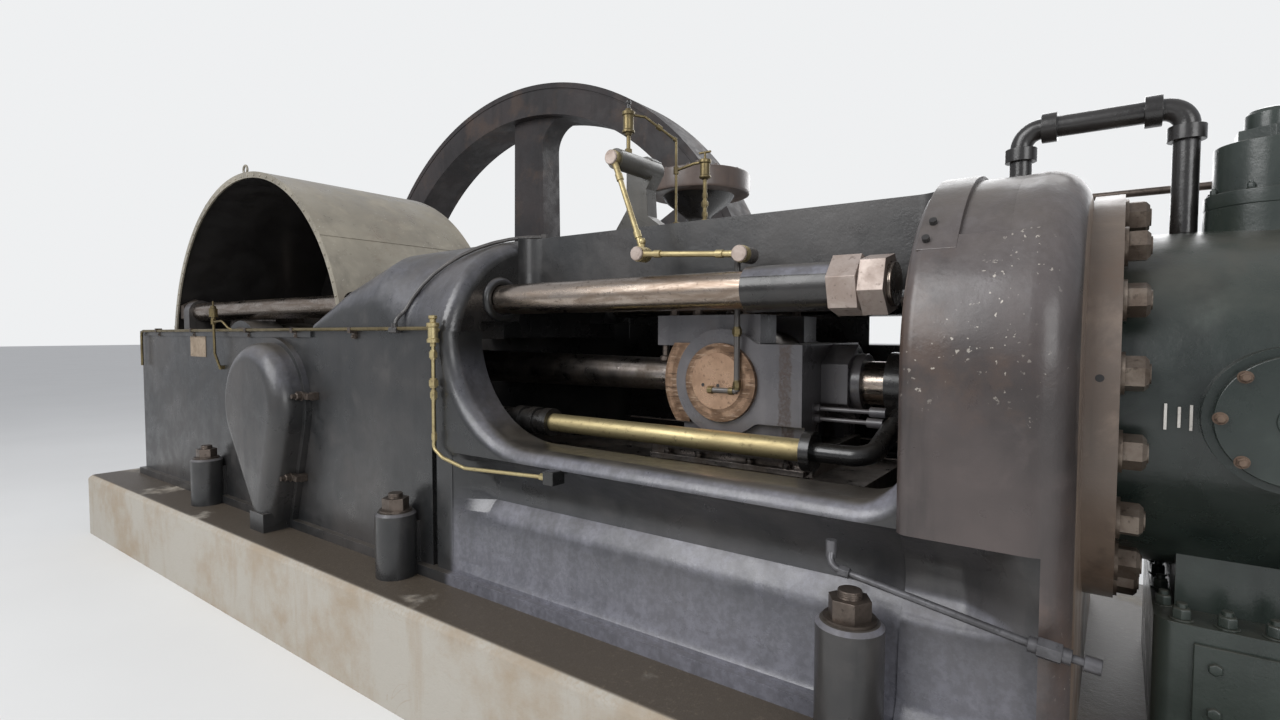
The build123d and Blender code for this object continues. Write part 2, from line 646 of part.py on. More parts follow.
def window_wall():
    """Side wall below a window, swept up to the portal and the adapter by wide corners."""
    outline = Pos((BED_X1 + GUIDE_X1) / 2, (PLINTH_Z + SILL_Z) / 2) * Rectangle(
        GUIDE_X1 - BED_X1, SILL_Z - PLINTH_Z)
    outline += Pos((BED_X1 + PORTAL_X1) / 2, SILL_Z + WINDOW_R_CRANK / 2) * Rectangle(PORTAL_T, WINDOW_R_CRANK)
    for x, side, r in ((PORTAL_X1, 1, WINDOW_R_CRANK), (GUIDE_X1, -1, WINDOW_R_CYL)):
        corner = Pos(x + side * r / 2, SILL_Z + r / 2) * Rectangle(r, r)
        outline += corner - Pos(x + side * r, SILL_Z + r) * Circle(r)
    wall = cut_y(outline, PASSAGE_HALF, BED_HALF)
    lip = [edge for edge in wall.faces().sort_by(Axis.Y)[-1].edges()
           if edge.center().Z > SILL_Z - 1 and PORTAL_X1 + 1 < edge.center().X < GUIDE_X1 - 1]
    return fillet(lip, LIP_R)


def guide_casting():
    """Trough, portal and top beam that hold the crosshead guides."""
    sections = [shoulder_face(PORTAL_X1 - back, FLOOR_Z + top, BED_HALF, r) for back, top, r in ROOF]
    roof = loft(sections, ruled=True)
    roof -= block(PORTAL_X1 - ROOF[0][0], BED_X1, -BED_HALF, BED_HALF, CRANK_Z, BED_TOP)
    body = roof + block(BED_X1, PORTAL_X1, -BED_HALF, BED_HALF, PLINTH_Z, CRANK_Z)
    face = body.faces().filter_by(Axis.X).sort_by(Axis.X)[-1]
    body = fillet([edge for edge in face.outer_wire().edges() if edge.center().Z > PLINTH_Z + 1], LIP_R)
    body += both(window_wall())
    body += block(PORTAL_X1, GUIDE_X1, -PASSAGE_HALF, PASSAGE_HALF, PLINTH_Z, PASSAGE_Z0)
    flange_half = BED_HALF + FLANGE_OUT
    body += block(BED_X1, GUIDE_X1, -flange_half, flange_half, PLINTH_Z, PLINTH_Z + FLANGE_T)
    beam = Pos((BED_X1 + GUIDE_X1) / 2, 0) * Rectangle(GUIDE_X1 - BED_X1, 2 * BEAM_HALF)
    for x, side in ((PORTAL_X1, 1), (GUIDE_X1, -1)):
        for y, turn in ((BEAM_HALF, 1), (-BEAM_HALF, -1)):
            root = Pos(x + side * BEAM_ROOT / 2, y + turn * BEAM_ROOT / 2) * Rectangle(BEAM_ROOT, BEAM_ROOT)
            beam += root - Pos(x + side * BEAM_ROOT, y + turn * BEAM_ROOT) * Circle(BEAM_ROOT)
    body += extrude(Pos(0, 0, BEAM_UNDER) * beam, amount=BEAM_TOP - BEAM_UNDER)
    boss_x0 = TIE_BOSS_X1 - TIE_BOSS_L
    tie_boss = rod_x(TIE_BOSS_R, boss_x0, TIE_BOSS_X1, TIE_Y, TIE_Z)
    tie_boss += block(boss_x0 + TIE_WEB_T, TIE_BOSS_X1, BEAM_HALF, TIE_Y, TIE_Z, TIE_Z + TIE_WEB_T)
    body += both(tie_boss)
    body -= block(SLOT_X0, PORTAL_X1, -SLOT_HALF, SLOT_HALF, PASSAGE_Z0, BEAM_UNDER)
    body -= block(BED_X1, PORTAL_X1, -PASSAGE_HALF, PASSAGE_HALF, PASSAGE_Z0, FLOOR_Z + PASSAGE_HEIGHT)
    body -= both(rod_x(TIE_R + RUN, PORTAL_X1 - ROOF[0][0], TIE_BOSS_X1, TIE_Y, TIE_Z))
    body -= skirt_recess()
    groove = block(BED_X1, BED_X1 + JOINT_GROOVE_W, BED_HALF - JOINT_GROOVE_D, BED_HALF, PLINTH_Z + FLANGE_T, BED_TOP)
    return body - both(groove) + anchor_bosses(ANCHORS_GUIDE, ANCHOR_TOP + ANCHOR_GUIDE_UP)


def crosshead_guide():
    """Flat lower guide that the crosshead slipper runs on."""
    x0, x1 = BED_X1 - GUIDE_BAR_BACK, GUIDE_X1 - GUIDE_BAR_END
    return block(x0, x1, -GUIDE_BAR_HALF, GUIDE_BAR_HALF, PASSAGE_Z0, PASSAGE_Z0 + GUIDE_BAR_T)


def cylinder_adapter():
    """End of the bed that carries the cylinder, with its round flange and a strap pad."""
    top = FLOOR_Z + ADAPTER_HEIGHT
    body = block(GUIDE_X1, ADAPTER_X1, -ADAPTER_HALF, ADAPTER_HALF, PLINTH_Z, top)
    body = fillet(body.edges().filter_by(Axis.X).group_by(Axis.Z)[-1], SHOULDER_R)
    end = [edge for edge in body.faces().sort_by(Axis.X)[-1].edges() if edge.center().Z > PLINTH_Z + 1]
    body = fillet(end, ADAPTER_END_R)
    start = [edge for edge in body.faces().sort_by(Axis.X)[0].edges() if edge.center().Z > PLINTH_Z + 1]
    body = fillet(start, ADAPTER_STEP_R)
    x0 = GUIDE_X1 + STRAP_X0
    strap = extrude(shoulder_face(x0, top + STRAP_T, ADAPTER_HALF + STRAP_T, SHOULDER_R + STRAP_T), amount=STRAP_W)
    strap &= block(x0, x0 + STRAP_W, -ADAPTER_HALF - STRAP_T, -BEAM_HALF, FLOOR_Z + STRAP_LOW, top + STRAP_T)
    body += strap
    body += rod_x(JOINT_R, ADAPTER_X1, CYL_X0, 0, CRANK_Z)
    half = ADAPTER_CAVITY_HALF
    body -= block(GUIDE_X1, ADAPTER_X1 - ADAPTER_WALL, -half, half, PASSAGE_Z0, BEAM_UNDER)
    body -= rod_x(PISTON_ROD_R + GAP, GUIDE_X1, CYL_X0, 0, CRANK_Z)
    return body - skirt_recess()


def stuffing_box():
    """Gland that the piston rod slides through."""
    x1 = ADAPTER_X1 - ADAPTER_WALL
    box_body = rod_x(GLAND_FLANGE_R, x1 - GLAND_FLANGE_T, x1, 0, CRANK_Z)
    box_body += rod_x(GLAND_R, GLAND_X0, x1, 0, CRANK_Z)
    return box_body - rod_x(PISTON_ROD_R + RUN, GLAND_X0, x1, 0, CRANK_Z)


def cylinder():
    """Jacketed cylinder barrel with pads for its covers and valves and an end flange."""
    body = rod_x(CYL_R, CYL_X0, CYL_X1, 0, CRANK_Z)
    body += rod_x(JOINT_R, CYL_X1 - JOINT_T, CYL_X1, 0, CRANK_Z)
    for x in VALVES_X:
        body += rod_y(COVER_R + COVER_RIM, -COVER_FACE_Y, COVER_FACE_Y, x, CRANK_Z)
        body += rod_z(BONNET_R + COVER_RIM, CRANK_Z, SEAT_Z, x, 0)
        low = CRANK_Z - CYL_R - SEAT_UP
        body += block(x - NECK_HALF_X, x + NECK_HALF_X, -NECK_HALF_Y, NECK_HALF_Y, low, CRANK_Z)
    body -= rod_x(BORE_R, CYL_MID - BORE_LENGTH / 2, CYL_MID + BORE_LENGTH / 2, 0, CRANK_Z)
    return body - rod_x(PISTON_ROD_R + GAP, CYL_X0, CYL_X1, 0, CRANK_Z)


def rear_head():
    """Flat head on the free end of the cylinder, bored for the tail rod."""
    head = rod_x(JOINT_R, CYL_X1, CYL_X1 + HEAD_T, 0, CRANK_Z)
    head += rod_x(HEAD_BOSS_R, CYL_X1 + HEAD_T, GUARD_X0, 0, CRANK_Z)
    return head - rod_x(PISTON_ROD_R + RUN, CYL_X1, GUARD_X0, 0, CRANK_Z)


def tail_guard():
    """Closed tube over the tail rod."""
    tube = rod_x(GUARD_R, GUARD_X0, GUARD_X1, 0, CRANK_Z)
    return tube - rod_x(GUARD_R - GUARD_T, GUARD_X0, GUARD_X1 - GUARD_T, 0, CRANK_Z)


def tail_support():
    """Pedestal under the outer end of the tail guard."""
    x0, x1 = SUPPORT_X - SUPPORT_HALF_X, SUPPORT_X + SUPPORT_HALF_X
    foot_x0, foot_x1 = SUPPORT_X - SUPPORT_FOOT_HALF_X, SUPPORT_X + SUPPORT_FOOT_HALF_X
    foot_z1 = PLINTH_Z + SUPPORT_FOOT_T
    stand = block(foot_x0, foot_x1, -SUPPORT_FOOT_HALF_Y, SUPPORT_FOOT_HALF_Y, PLINTH_Z, foot_z1)
    stand += block(x0, x1, -SUPPORT_HALF_Y, SUPPORT_HALF_Y, PLINTH_Z, CRANK_Z)
    stand += rod_x(GUARD_R + GUARD_COLLAR_T, x0, x1, 0, CRANK_Z)
    return stand - rod_x(GUARD_R, x0, x1, 0, CRANK_Z)


def side_covers():
    """Round cover over each side opening of the cylinder."""
    y1 = COVER_FACE_Y + COVER_T
    covers = [rod_y(COVER_R, COVER_FACE_Y, y1, x, CRANK_Z) for x in VALVES_X]
    return both(Compound(covers))


def inlet_bonnets():
    """Valve bonnet on top of each end of the cylinder."""
    bonnets = []
    for x in VALVES_X:
        bonnet = rod_z(BONNET_R + COVER_RIM, SEAT_Z, SEAT_Z + BONNET_FLANGE_T, x, 0)
        bonnet += rod_z(BONNET_R, SEAT_Z, BONNET_TOP, x, 0)
        bonnets.append(bonnet + rod_z(BONNET_STEM_R, BONNET_TOP, BONNET_TOP + BONNET_STEM_UP, x, 0))
    return Compound(bonnets)


def exhaust_chest(x):
    """Exhaust valve chest that stands under one end of the cylinder."""
    top = CRANK_Z - CYL_R - SEAT_UP
    chest = block(x - CHEST_HALF_X, x + CHEST_HALF_X, -CHEST_HALF_Y, CHEST_HALF_Y, PLINTH_Z, top)
    chest = fillet(chest.edges().filter_by(Axis.Z), CHEST_FILLET)
    z = (PLINTH_Z + top) / 2
    face_y = CHEST_HALF_Y + EXHAUST_OUT
    chest += rod_y(EXHAUST_FLANGE_R, face_y - EXHAUST_FLANGE_T, face_y, x, z)
    chest += rod_y(EXHAUST_BORE_R + EXHAUST_PIPE_T, 0, face_y, x, z)
    chest -= rod_y(EXHAUST_BORE_R, face_y - EXHAUST_DEPTH, face_y, x, z)
    for n in range(EXHAUST_BOLTS):
        a = radians((n + 0.5) * 360 / EXHAUST_BOLTS)
        hole_x, hole_z = x + EXHAUST_PCD / 2 * cos(a), z + EXHAUST_PCD / 2 * sin(a)
        chest -= rod_y(EXHAUST_BOLT_R, face_y - EXHAUST_FLANGE_T, face_y, hole_x, hole_z)
    return chest


def exhaust_chest_front():
    """Exhaust chest next to the adapter."""
    return exhaust_chest(VALVES_X[0])


def exhaust_chest_rear():
    """Exhaust chest at the free end of the cylinder."""
    return exhaust_chest(VALVES_X[1])


def hood():
    """Sheet-metal half drum over the crank, closed on the flywheel side."""
    upper = Pos(0, BED_TOP - CRANK_Z + HOOD_R) * Rectangle(3 * HOOD_R, 2 * HOOD_R)
    ring = Circle(HOOD_R) - Circle(HOOD_R - HOOD_T)
    shell = cut_y(Pos(0, CRANK_Z) * (ring & upper), -HOOD_NEAR, HOOD_FAR)
    disc = Circle(HOOD_R - HOOD_T / 2) & upper
    shell += cut_y(Pos(0, CRANK_Z) * disc, HOOD_FAR - HOOD_T, HOOD_FAR)
    strip = (Circle(HOOD_R) - Circle(HOOD_R - HOOD_STRIP)) & upper
    shell += cut_y(Pos(0, CRANK_Z) * strip, -HOOD_NEAR, -HOOD_NEAR + HOOD_T)
    return shell - both(rod_x(TIE_R + HOOD_HOLE, TIE_X0, HOOD_R, TIE_Y, TIE_Z))


def tie_rods():
    """Long steel rods that tie the crank end of the bed to the guides."""
    return both(rod_x(TIE_R, TIE_X0, TIE_X1, TIE_Y, TIE_Z))


def tie_nuts():
    """Nut and lock nut on the cylinder end of each tie rod."""
    x1 = TIE_BOSS_X1 + TIE_NUT_L
    x2 = x1 + TIE_NUT_SPACE
    nuts = hex_x(TIE_NUT_R, TIE_BOSS_X1, x1, TIE_Y, TIE_Z, TIE_NUT_TURN)
    nuts += rod_x(TIE_BOSS_R, x1, x2, TIE_Y, TIE_Z)
    nuts += hex_x(TIE_NUT_R, x2, x2 + TIE_LOCK_NUT_L, TIE_Y, TIE_Z, -TIE_NUT_TURN)
    return both(nuts - rod_x(TIE_R, TIE_BOSS_X1, x2 + TIE_LOCK_NUT_L, TIE_Y, TIE_Z))


def connecting_rod():
    """Rod with its crosshead eye and its big end, bored for both pins."""
    shank = Pos(CRANK_R, 0, CRANK_Z) * Rot(0, 90, 0) * Cone(
        SHANK_R_BIG, SHANK_R_SMALL, ROD_LENGTH, align=(Align.CENTER, Align.CENTER, Align.MIN))
    eye = rod_y(SMALL_END_R, -BIG_END_HALF, BIG_END_HALF, PIN_X, CRANK_Z)
    x0, x1 = CRANK_R - BIG_END_BACK, CRANK_R + BIG_END_FRONT
    z0, z1 = CRANK_Z - BIG_END_HALF_Z, CRANK_Z + BIG_END_HALF_Z
    big = block(x0, x1, -BIG_END_HALF + GAP, BIG_END_HALF - GAP, z0, z1)
    big = fillet(big.edges().filter_by(Axis.Y), BIG_END_R)
    rod = shank + eye + big - rod_y(HEAD_PIN_R, -BIG_END_HALF, BIG_END_HALF, PIN_X, CRANK_Z)
    return rod - rod_y(CRANK_PIN_R, -BIG_END_HALF, BIG_END_HALF, CRANK_R, CRANK_Z)


def crank_pin():
    """Pin that the big end turns on."""
    return rod_y(CRANK_PIN_R, -BIG_END_HALF, BIG_END_HALF, CRANK_R, CRANK_Z)


def crosshead():
    """Cast crosshead: two cheeks round the pin and a socket for the piston rod."""
    y0 = BIG_END_HALF + WEB_CLEAR
    x1 = PIN_X + CHEEK_LENGTH
    outline = Pos(PIN_X, CRANK_Z) * Circle(CHEEK_R)
    outline += Pos(PIN_X + CHEEK_LENGTH / 2, CRANK_Z) * Rectangle(CHEEK_LENGTH, 2 * CHEEK_HALF_Z)
    roots = outline.vertices().filter_by(lambda v: PIN_X + 1 < v.X < x1 - 1)
    cheek = cut_y(fillet(roots, CHEEK_FILLET), y0, HEAD_HALF)
    top_z = CRANK_Z + BRACKET_Z1
    bracket_x1 = PIN_X + BRACKET_FRONT
    cheek += block(PIN_X - BRACKET_BACK, bracket_x1, y0, HEAD_HALF - BRACKET_IN, CRANK_Z + BRACKET_Z0, top_z)
    cheek += block(PIN_X - LEG_BACK, x1, y0, HEAD_HALF - BRACKET_IN, CRANK_Z - LEG_Z0, CRANK_Z - LEG_Z1)
    yoke = block(x1 - YOKE_T, x1, -HEAD_HALF, HEAD_HALF, CRANK_Z - CHEEK_HALF_Z, CRANK_Z + CHEEK_HALF_Z)
    body = cheek + mirrored(cheek) + yoke
    body -= rod_y(HEAD_PIN_R, -HEAD_HALF, HEAD_HALF, PIN_X, CRANK_Z)
    return body - rod_x(PISTON_ROD_R, PIN_X, x1, 0, CRANK_Z)


def crosshead_pin():
    """Pin through the cheeks and the connecting rod's eye."""
    half = HEAD_HALF + HEAD_PIN_OUT
    return rod_y(HEAD_PIN_R, -half, half, PIN_X, CRANK_Z)


def crosshead_slipper():
    """Shoe under the crosshead that runs on the lower guide."""
    z0, z1 = PASSAGE_Z0 + GUIDE_BAR_T + FACE, CRANK_Z - LEG_Z0
    return block(PIN_X - SLIPPER_HALF_X, PIN_X + SLIPPER_HALF_X, -SLIPPER_HALF_Y, SLIPPER_HALF_Y, z0, z1)


def piston_rod():
    """Rod from the crosshead through the cylinder, with its tail."""
    x0, x1 = PIN_X + CHEEK_LENGTH - YOKE_T, GUARD_X1 - TAIL_MARGIN
    return rod_x(PISTON_ROD_R, x0, x1, 0, CRANK_Z)


def piston():
    """Piston, bored for the rod that it is keyed to."""
    x0, x1 = PISTON_MID - PISTON_LENGTH / 2, PISTON_MID + PISTON_LENGTH / 2
    return rod_x(BORE_R - FACE, x0, x1, 0, CRANK_Z) - rod_x(PISTON_ROD_R, x0, x1, 0, CRANK_Z)


def cooling_tube():
    """Brass tube that slides in and out of its sleeve with the crosshead."""
    x0 = PORTAL_X1 + COOL_GLAND_L - COOL_OVERLAP
    return rod_x(COOL_R, x0, COOL_END_X, COOL_Y, COOL_Z)


def cooling_elbow():
    """Flange on the brass tube and the bend that joins it to a clamp on the piston rod."""
    x1 = COOL_END_X + COOL_FLANGE_T
    turn_x = x1 + ELBOW_RUN
    elbow = rod_x(COOL_FLANGE_R, COOL_END_X, x1, COOL_Y, COOL_Z)
    path = ((x1, COOL_Y, COOL_Z), (turn_x, COOL_Y, COOL_Z), (turn_x, 0, CRANK_Z - PISTON_ROD_R))
    elbow += pipe(path, ELBOW_R, ELBOW_BEND)
    elbow += rod_x(CLAMP_R, turn_x - CLAMP_L / 2, turn_x + CLAMP_L / 2, 0, CRANK_Z)
    return elbow - rod_x(PISTON_ROD_R, turn_x - CLAMP_L, turn_x + CLAMP_L, 0, CRANK_Z)


def cooling_gland():
    """Fixed sleeve and stepped gland of the cooling tube, on a foot from the side wall."""
    x1 = PORTAL_X1 + COOL_GLAND_L
    x0 = PORTAL_X1 + COOL_GLAND_L - COOL_OVERLAP - STROKE - GAP
    body = rod_x(COOL_SLEEVE_R, x0 - GUARD_T, x1, COOL_Y, COOL_Z)
    for n in range(3):
        collar_x = x1 - 2 * n * COOL_COLLAR_L
        body += rod_x(COOL_GLAND_R, collar_x - COOL_COLLAR_L, collar_x, COOL_Y, COOL_Z)
    z0, z1 = COOL_Z - COOL_SLEEVE_R, COOL_Z + COOL_SLEEVE_R
    body += block(BED_X1, PORTAL_X1, -PASSAGE_HALF, COOL_Y, z0, z1)
    return body - rod_x(COOL_R + RUN, x0, x1, COOL_Y, COOL_Z)


def water_pipe():
    """Cooling-water pipe that rises from the adapter and drops to the cylinder."""
    z0, z1, top = FLOOR_Z + ADAPTER_HEIGHT, CRANK_Z + CYL_R, FLOOR_Z + WATER_HEIGHT
    line = pipe(((WATER_X0, 0, z0), (WATER_X0, 0, top), (WATER_X1, 0, top), (WATER_X1, 0, z1)), WATER_R, WATER_BEND)
    line += rod_z(UNION_R, z0, z0 + UNION_L, WATER_X0, 0)
    for x in (WATER_X0, WATER_X1):
        line += rod_z(UNION_R, top - WATER_BEND - UNION_L, top - WATER_BEND, x, 0)
    for x in (WATER_X0 + WATER_BEND, WATER_X1 - WATER_BEND - UNION_L):
        line += rod_x(UNION_R, x, x + UNION_L, 0, top)
    return line


def oiler_stand():
    """Bracket on top of the beam that carries the oiler's fixed pivot."""
    x, z = OIL_PIVOT
    foot = [(x + dx, BEAM_TOP + dz) for dx, dz in OILER_FOOT]
    head = [(x + dx, z + dz) for dx, dz in OILER_HEAD]
    waist = [(x + dx, BEAM_TOP + dz) for dx, dz in OILER_WAIST]
    arm = Polygon(*foot, *head, *waist, align=None)
    y1 = OILER_ARM_Y + OILER_ARM_T
    face_y = OIL_UPPER_Y + OIL_KNUCKLE_T / 2 + FACE
    stand = cut_y(arm, OILER_ARM_Y, y1) + rod_y(OILER_BOSS_R, face_y, y1, x, z)
    return stand + rod_y(OIL_PIN_R, OIL_UPPER_Y - OIL_KNUCKLE_T / 2, y1, x, z)


def oiler_link(start, end, y):
    """Tube between two knuckles."""
    (x0, z0), (x1, z1) = start, end
    link = Vector(x1 - x0, 0, z1 - z0)
    tube = extrude(Plane(origin=(x0, y, z0), z_dir=link) * Circle(OIL_TUBE_R), amount=link.length)
    half = OIL_KNUCKLE_T / 2
    for x, z in (start, end):
        tube += rod_y(OIL_KNUCKLE_R, y - half, y + half, x, z)
    return tube


def oiler_upper_link():
    """Link that swings from the stand down to the middle knuckle."""
    half = OIL_KNUCKLE_T / 2
    link = oiler_link(OIL_PIVOT, OIL_KNUCKLE, OIL_UPPER_Y)
    return link - rod_y(OIL_PIN_R + RUN, OIL_UPPER_Y - half, OIL_UPPER_Y + half, *OIL_PIVOT)


def oiler_lower_link():
    """Link that swings from the crosshead's standpipe up to the middle knuckle."""
    half = OIL_KNUCKLE_T / 2
    link = oiler_link(OIL_END, OIL_KNUCKLE, OIL_LOWER_Y)
    link += rod_y(OIL_PIN_R, OIL_LOWER_Y - half - OIL_PIN_HEAD, OIL_LOWER_Y, *OIL_KNUCKLE)
    return link - rod_y(OIL_PIN_R + RUN, OIL_LOWER_Y - half, OIL_LOWER_Y + half, *OIL_END)


def oiler_standpipe():
    """Pipe that rises from the crosshead pin to the pivot of the lower link."""
    x, z = OIL_END
    foot_z = CRANK_Z - RISER_DROP
    stem = rod_x(OIL_TUBE_R, PIN_X - RISER_FOOT, RISER_X, RISER_Y, foot_z)
    stem += rod_z(OIL_TUBE_R, foot_z, z, RISER_X, RISER_Y) + rod_x(OIL_TUBE_R, RISER_X, x, RISER_Y, z)
    half = OIL_KNUCKLE_T / 2
    stem += rod_y(OIL_KNUCKLE_R, OIL_LOWER_Y + half + FACE, RISER_Y, x, z)
    return stem + rod_y(OIL_PIN_R, OIL_LOWER_Y - half, RISER_Y, x, z)


def governor():
    """Drum with a conical underside on the flywheel side of the bed."""
    drum = rod_z(DRUM_R, GOVERNOR_Z, GOVERNOR_Z + DRUM_H, GOVERNOR_X, GOVERNOR_Y)
    rim_z = GOVERNOR_Z + DRUM_H - DRUM_RIM_H
    drum += rod_z(DRUM_R + DRUM_RIM_OUT, rim_z, GOVERNOR_Z + DRUM_H, GOVERNOR_X, GOVERNOR_Y)
    return drum + Pos(GOVERNOR_X, GOVERNOR_Y, GOVERNOR_Z) * Rot(180, 0, 0) * Cone(
        CONE_R_TOP, CONE_R_LOW, CONE_H, align=(Align.CENTER, Align.CENTER, Align.MIN))


def governor_stand():
    """Bracket arm that carries the drum from the bed's far side."""
    x0, x1 = BED_X1 - STAND_FOOT_X, PORTAL_X1
    low, high = FLOOR_Z + STAND_FOOT_LOW, FLOOR_Z + STAND_FOOT_HIGH
    foot = block(x0, x1, BED_HALF, GOVERNOR_Y, low, high)
    arm = block(x0, GOVERNOR_X, GOVERNOR_Y - STAND_R, GOVERNOR_Y + STAND_R, low, high)
    return foot + arm + rod_z(STAND_R, low, GOVERNOR_Z - CONE_H, GOVERNOR_X, GOVERNOR_Y)


def governor_rod():
    """Rod from the governor's stand to a lever on each valve bonnet."""
    x1 = VALVES_X[1]
    rod = rod_x(REACH_R, GOVERNOR_X, x1 + LEVER_HALF, LEVER_Y, LEVER_Z)
    rod += block(GOVERNOR_X - LEVER_HALF, GOVERNOR_X + LEVER_HALF, LEVER_Y, GOVERNOR_Y - STAND_R, LEVER_Z - LEVER_HALF, LEVER_Z + LEVER_HALF)
    for x in VALVES_X:
        rod += block(x - LEVER_HALF, x + LEVER_HALF, BONNET_STEM_R, LEVER_Y, LEVER_Z - LEVER_HALF, LEVER_Z + LEVER_HALF)
    return rod


def crank_side_cover():
    """Bulged teardrop cover on the near wall of the bed, with a flat rim."""
    z, toe_z = FLOOR_Z + TEAR_HEIGHT, PLINTH_Z + FLANGE_T
    shell = cut_y(teardrop(z, toe_z, 0), -BED_HALF - TEAR_OUT, -BED_HALF)
    shell = fillet(shell.faces().sort_by(Axis.Y)[0].edges(), TEAR_ROUND)
    rim = cut_y(teardrop(z, toe_z, TEAR_RIM), -BED_HALF - TEAR_RIM_T, -BED_HALF)
    foot_x0, foot_x1 = TEAR_TOE_X - TEAR_TOE_HALF, TEAR_TOE_X + TEAR_TOE_HALF
    foot = block(foot_x0, foot_x1, -BED_HALF - TEAR_OUT, -BED_HALF - FLANGE_OUT, PLINTH_Z, toe_z + TEAR_FOOT_H)
    return shell + rim + foot


def teardrop(z, toe_z, grow):
    """Outline of the teardrop cover, as a hull of its round head and narrow toe."""
    r, half = TEAR_R + grow, TEAR_TOE_HALF + grow
    head = Pos(TEAR_X, z) * Circle(r)
    toe = Pos(TEAR_TOE_X, toe_z + TEAR_TOE_H / 2) * Rectangle(2 * half, TEAR_TOE_H)
    return make_hull(head.edges() + toe.edges())


def anchor_nuts():
    """Stud and hexagon nut on top of each foundation-bolt boss."""
    nuts = []
    for places, base in ((ANCHORS_BED, ANCHOR_TOP), (ANCHORS_GUIDE, ANCHOR_TOP + ANCHOR_GUIDE_UP)):
        top = base + ANCHOR_NUT_T
        for x in places:
            nut = hex_z(ANCHOR_NUT_R, base, top, x, ANCHOR_Y)
            nuts.append(nut + rod_z(ANCHOR_STUD_R, top, top + ANCHOR_STUD_UP, x, ANCHOR_Y))
    return both(Compound(nuts))


PIECES = (
    foundation_block, wheel_pit, outboard_pier, crank_bed, bearing_shells, bearing_caps, crankshaft,
    near_crank, flywheel_rim, flywheel_spider, outboard_pedestal, outboard_cap, guide_casting,
    crosshead_guide, cylinder_adapter, stuffing_box, cylinder, rear_head, tail_guard,
    tail_support, side_covers, inlet_bonnets, exhaust_chest_front, exhaust_chest_rear, hood,
    tie_rods, tie_nuts, connecting_rod, crank_pin, crosshead, crosshead_pin, crosshead_slipper,
    piston_rod, piston, cooling_tube, cooling_elbow, cooling_gland, water_pipe, oiler_stand,
    oiler_upper_link, oiler_lower_link, oiler_standpipe, governor, governor_stand,
    governor_rod, crank_side_cover, anchor_nuts,
)

os.makedirs("parts", exist_ok=True)
for piece in PIECES:
    export_step(piece(), f"parts/{piece.__name__}.step")
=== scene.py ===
"""Looks of a large horizontal gas engine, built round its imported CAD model.

Every sub-assembly is a class that keeps its sizes as fields and makes its own meshes.
Lengths are metres in the frame of the CAD model: X runs along the engine from the crank
to the cylinder, Y is level across it towards the flywheel, and Z is up.
"""

from __future__ import annotations

import json
import logging
import math
from dataclasses import dataclass
from enum import Enum
from typing import Callable, Optional, Sequence, Union

import bmesh
import bpy
from mathutils import Matrix, Vector

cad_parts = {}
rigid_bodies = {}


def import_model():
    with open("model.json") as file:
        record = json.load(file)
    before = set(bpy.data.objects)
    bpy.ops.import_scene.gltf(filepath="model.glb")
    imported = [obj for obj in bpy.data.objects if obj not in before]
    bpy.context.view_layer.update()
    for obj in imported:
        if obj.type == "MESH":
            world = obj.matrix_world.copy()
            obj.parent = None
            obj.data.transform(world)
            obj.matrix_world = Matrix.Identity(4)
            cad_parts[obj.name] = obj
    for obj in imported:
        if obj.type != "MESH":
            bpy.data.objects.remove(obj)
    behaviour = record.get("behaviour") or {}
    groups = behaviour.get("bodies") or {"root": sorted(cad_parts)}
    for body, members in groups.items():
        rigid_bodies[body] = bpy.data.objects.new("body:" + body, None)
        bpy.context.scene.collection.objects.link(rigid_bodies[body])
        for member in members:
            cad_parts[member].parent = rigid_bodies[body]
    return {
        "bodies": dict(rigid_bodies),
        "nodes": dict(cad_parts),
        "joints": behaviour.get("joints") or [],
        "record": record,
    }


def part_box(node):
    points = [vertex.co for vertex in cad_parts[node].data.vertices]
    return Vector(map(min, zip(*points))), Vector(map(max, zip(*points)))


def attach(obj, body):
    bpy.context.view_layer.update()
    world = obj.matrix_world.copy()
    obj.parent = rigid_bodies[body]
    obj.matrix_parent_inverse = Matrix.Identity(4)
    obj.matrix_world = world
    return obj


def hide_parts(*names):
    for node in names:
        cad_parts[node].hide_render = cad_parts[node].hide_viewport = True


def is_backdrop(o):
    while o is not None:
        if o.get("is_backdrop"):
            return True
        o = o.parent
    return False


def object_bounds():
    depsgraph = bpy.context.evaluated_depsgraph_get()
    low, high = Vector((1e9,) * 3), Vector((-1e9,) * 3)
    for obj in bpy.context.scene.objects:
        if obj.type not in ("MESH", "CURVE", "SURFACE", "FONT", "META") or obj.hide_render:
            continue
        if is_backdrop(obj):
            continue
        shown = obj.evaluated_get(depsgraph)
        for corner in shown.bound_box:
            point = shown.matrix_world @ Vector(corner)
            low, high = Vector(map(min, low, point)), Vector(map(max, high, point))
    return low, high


LOG = logging.getLogger("engine_looks")

Point = Sequence[float]
Socket = bpy.types.NodeSocket
Value = Union[float, Sequence[float], Socket]

GROUND = 1.6                # ground level above the underside of the foundation
CRANK_Z = 3.04              # height of the crank axis
PIN_X = 3.78                # crosshead pin at rest
WELD = 1e-5                 # distance at which doubled vertices are merged


class Axis(Enum):
    """Direction that a turned or prismatic piece runs in."""

    X = Vector((1, 0, 0))
    Y = Vector((0, 1, 0))
    Z = Vector((0, 0, 1))
    MINUS_X = Vector((-1, 0, 0))
    MINUS_Y = Vector((0, -1, 0))
    MINUS_Z = Vector((0, 0, -1))


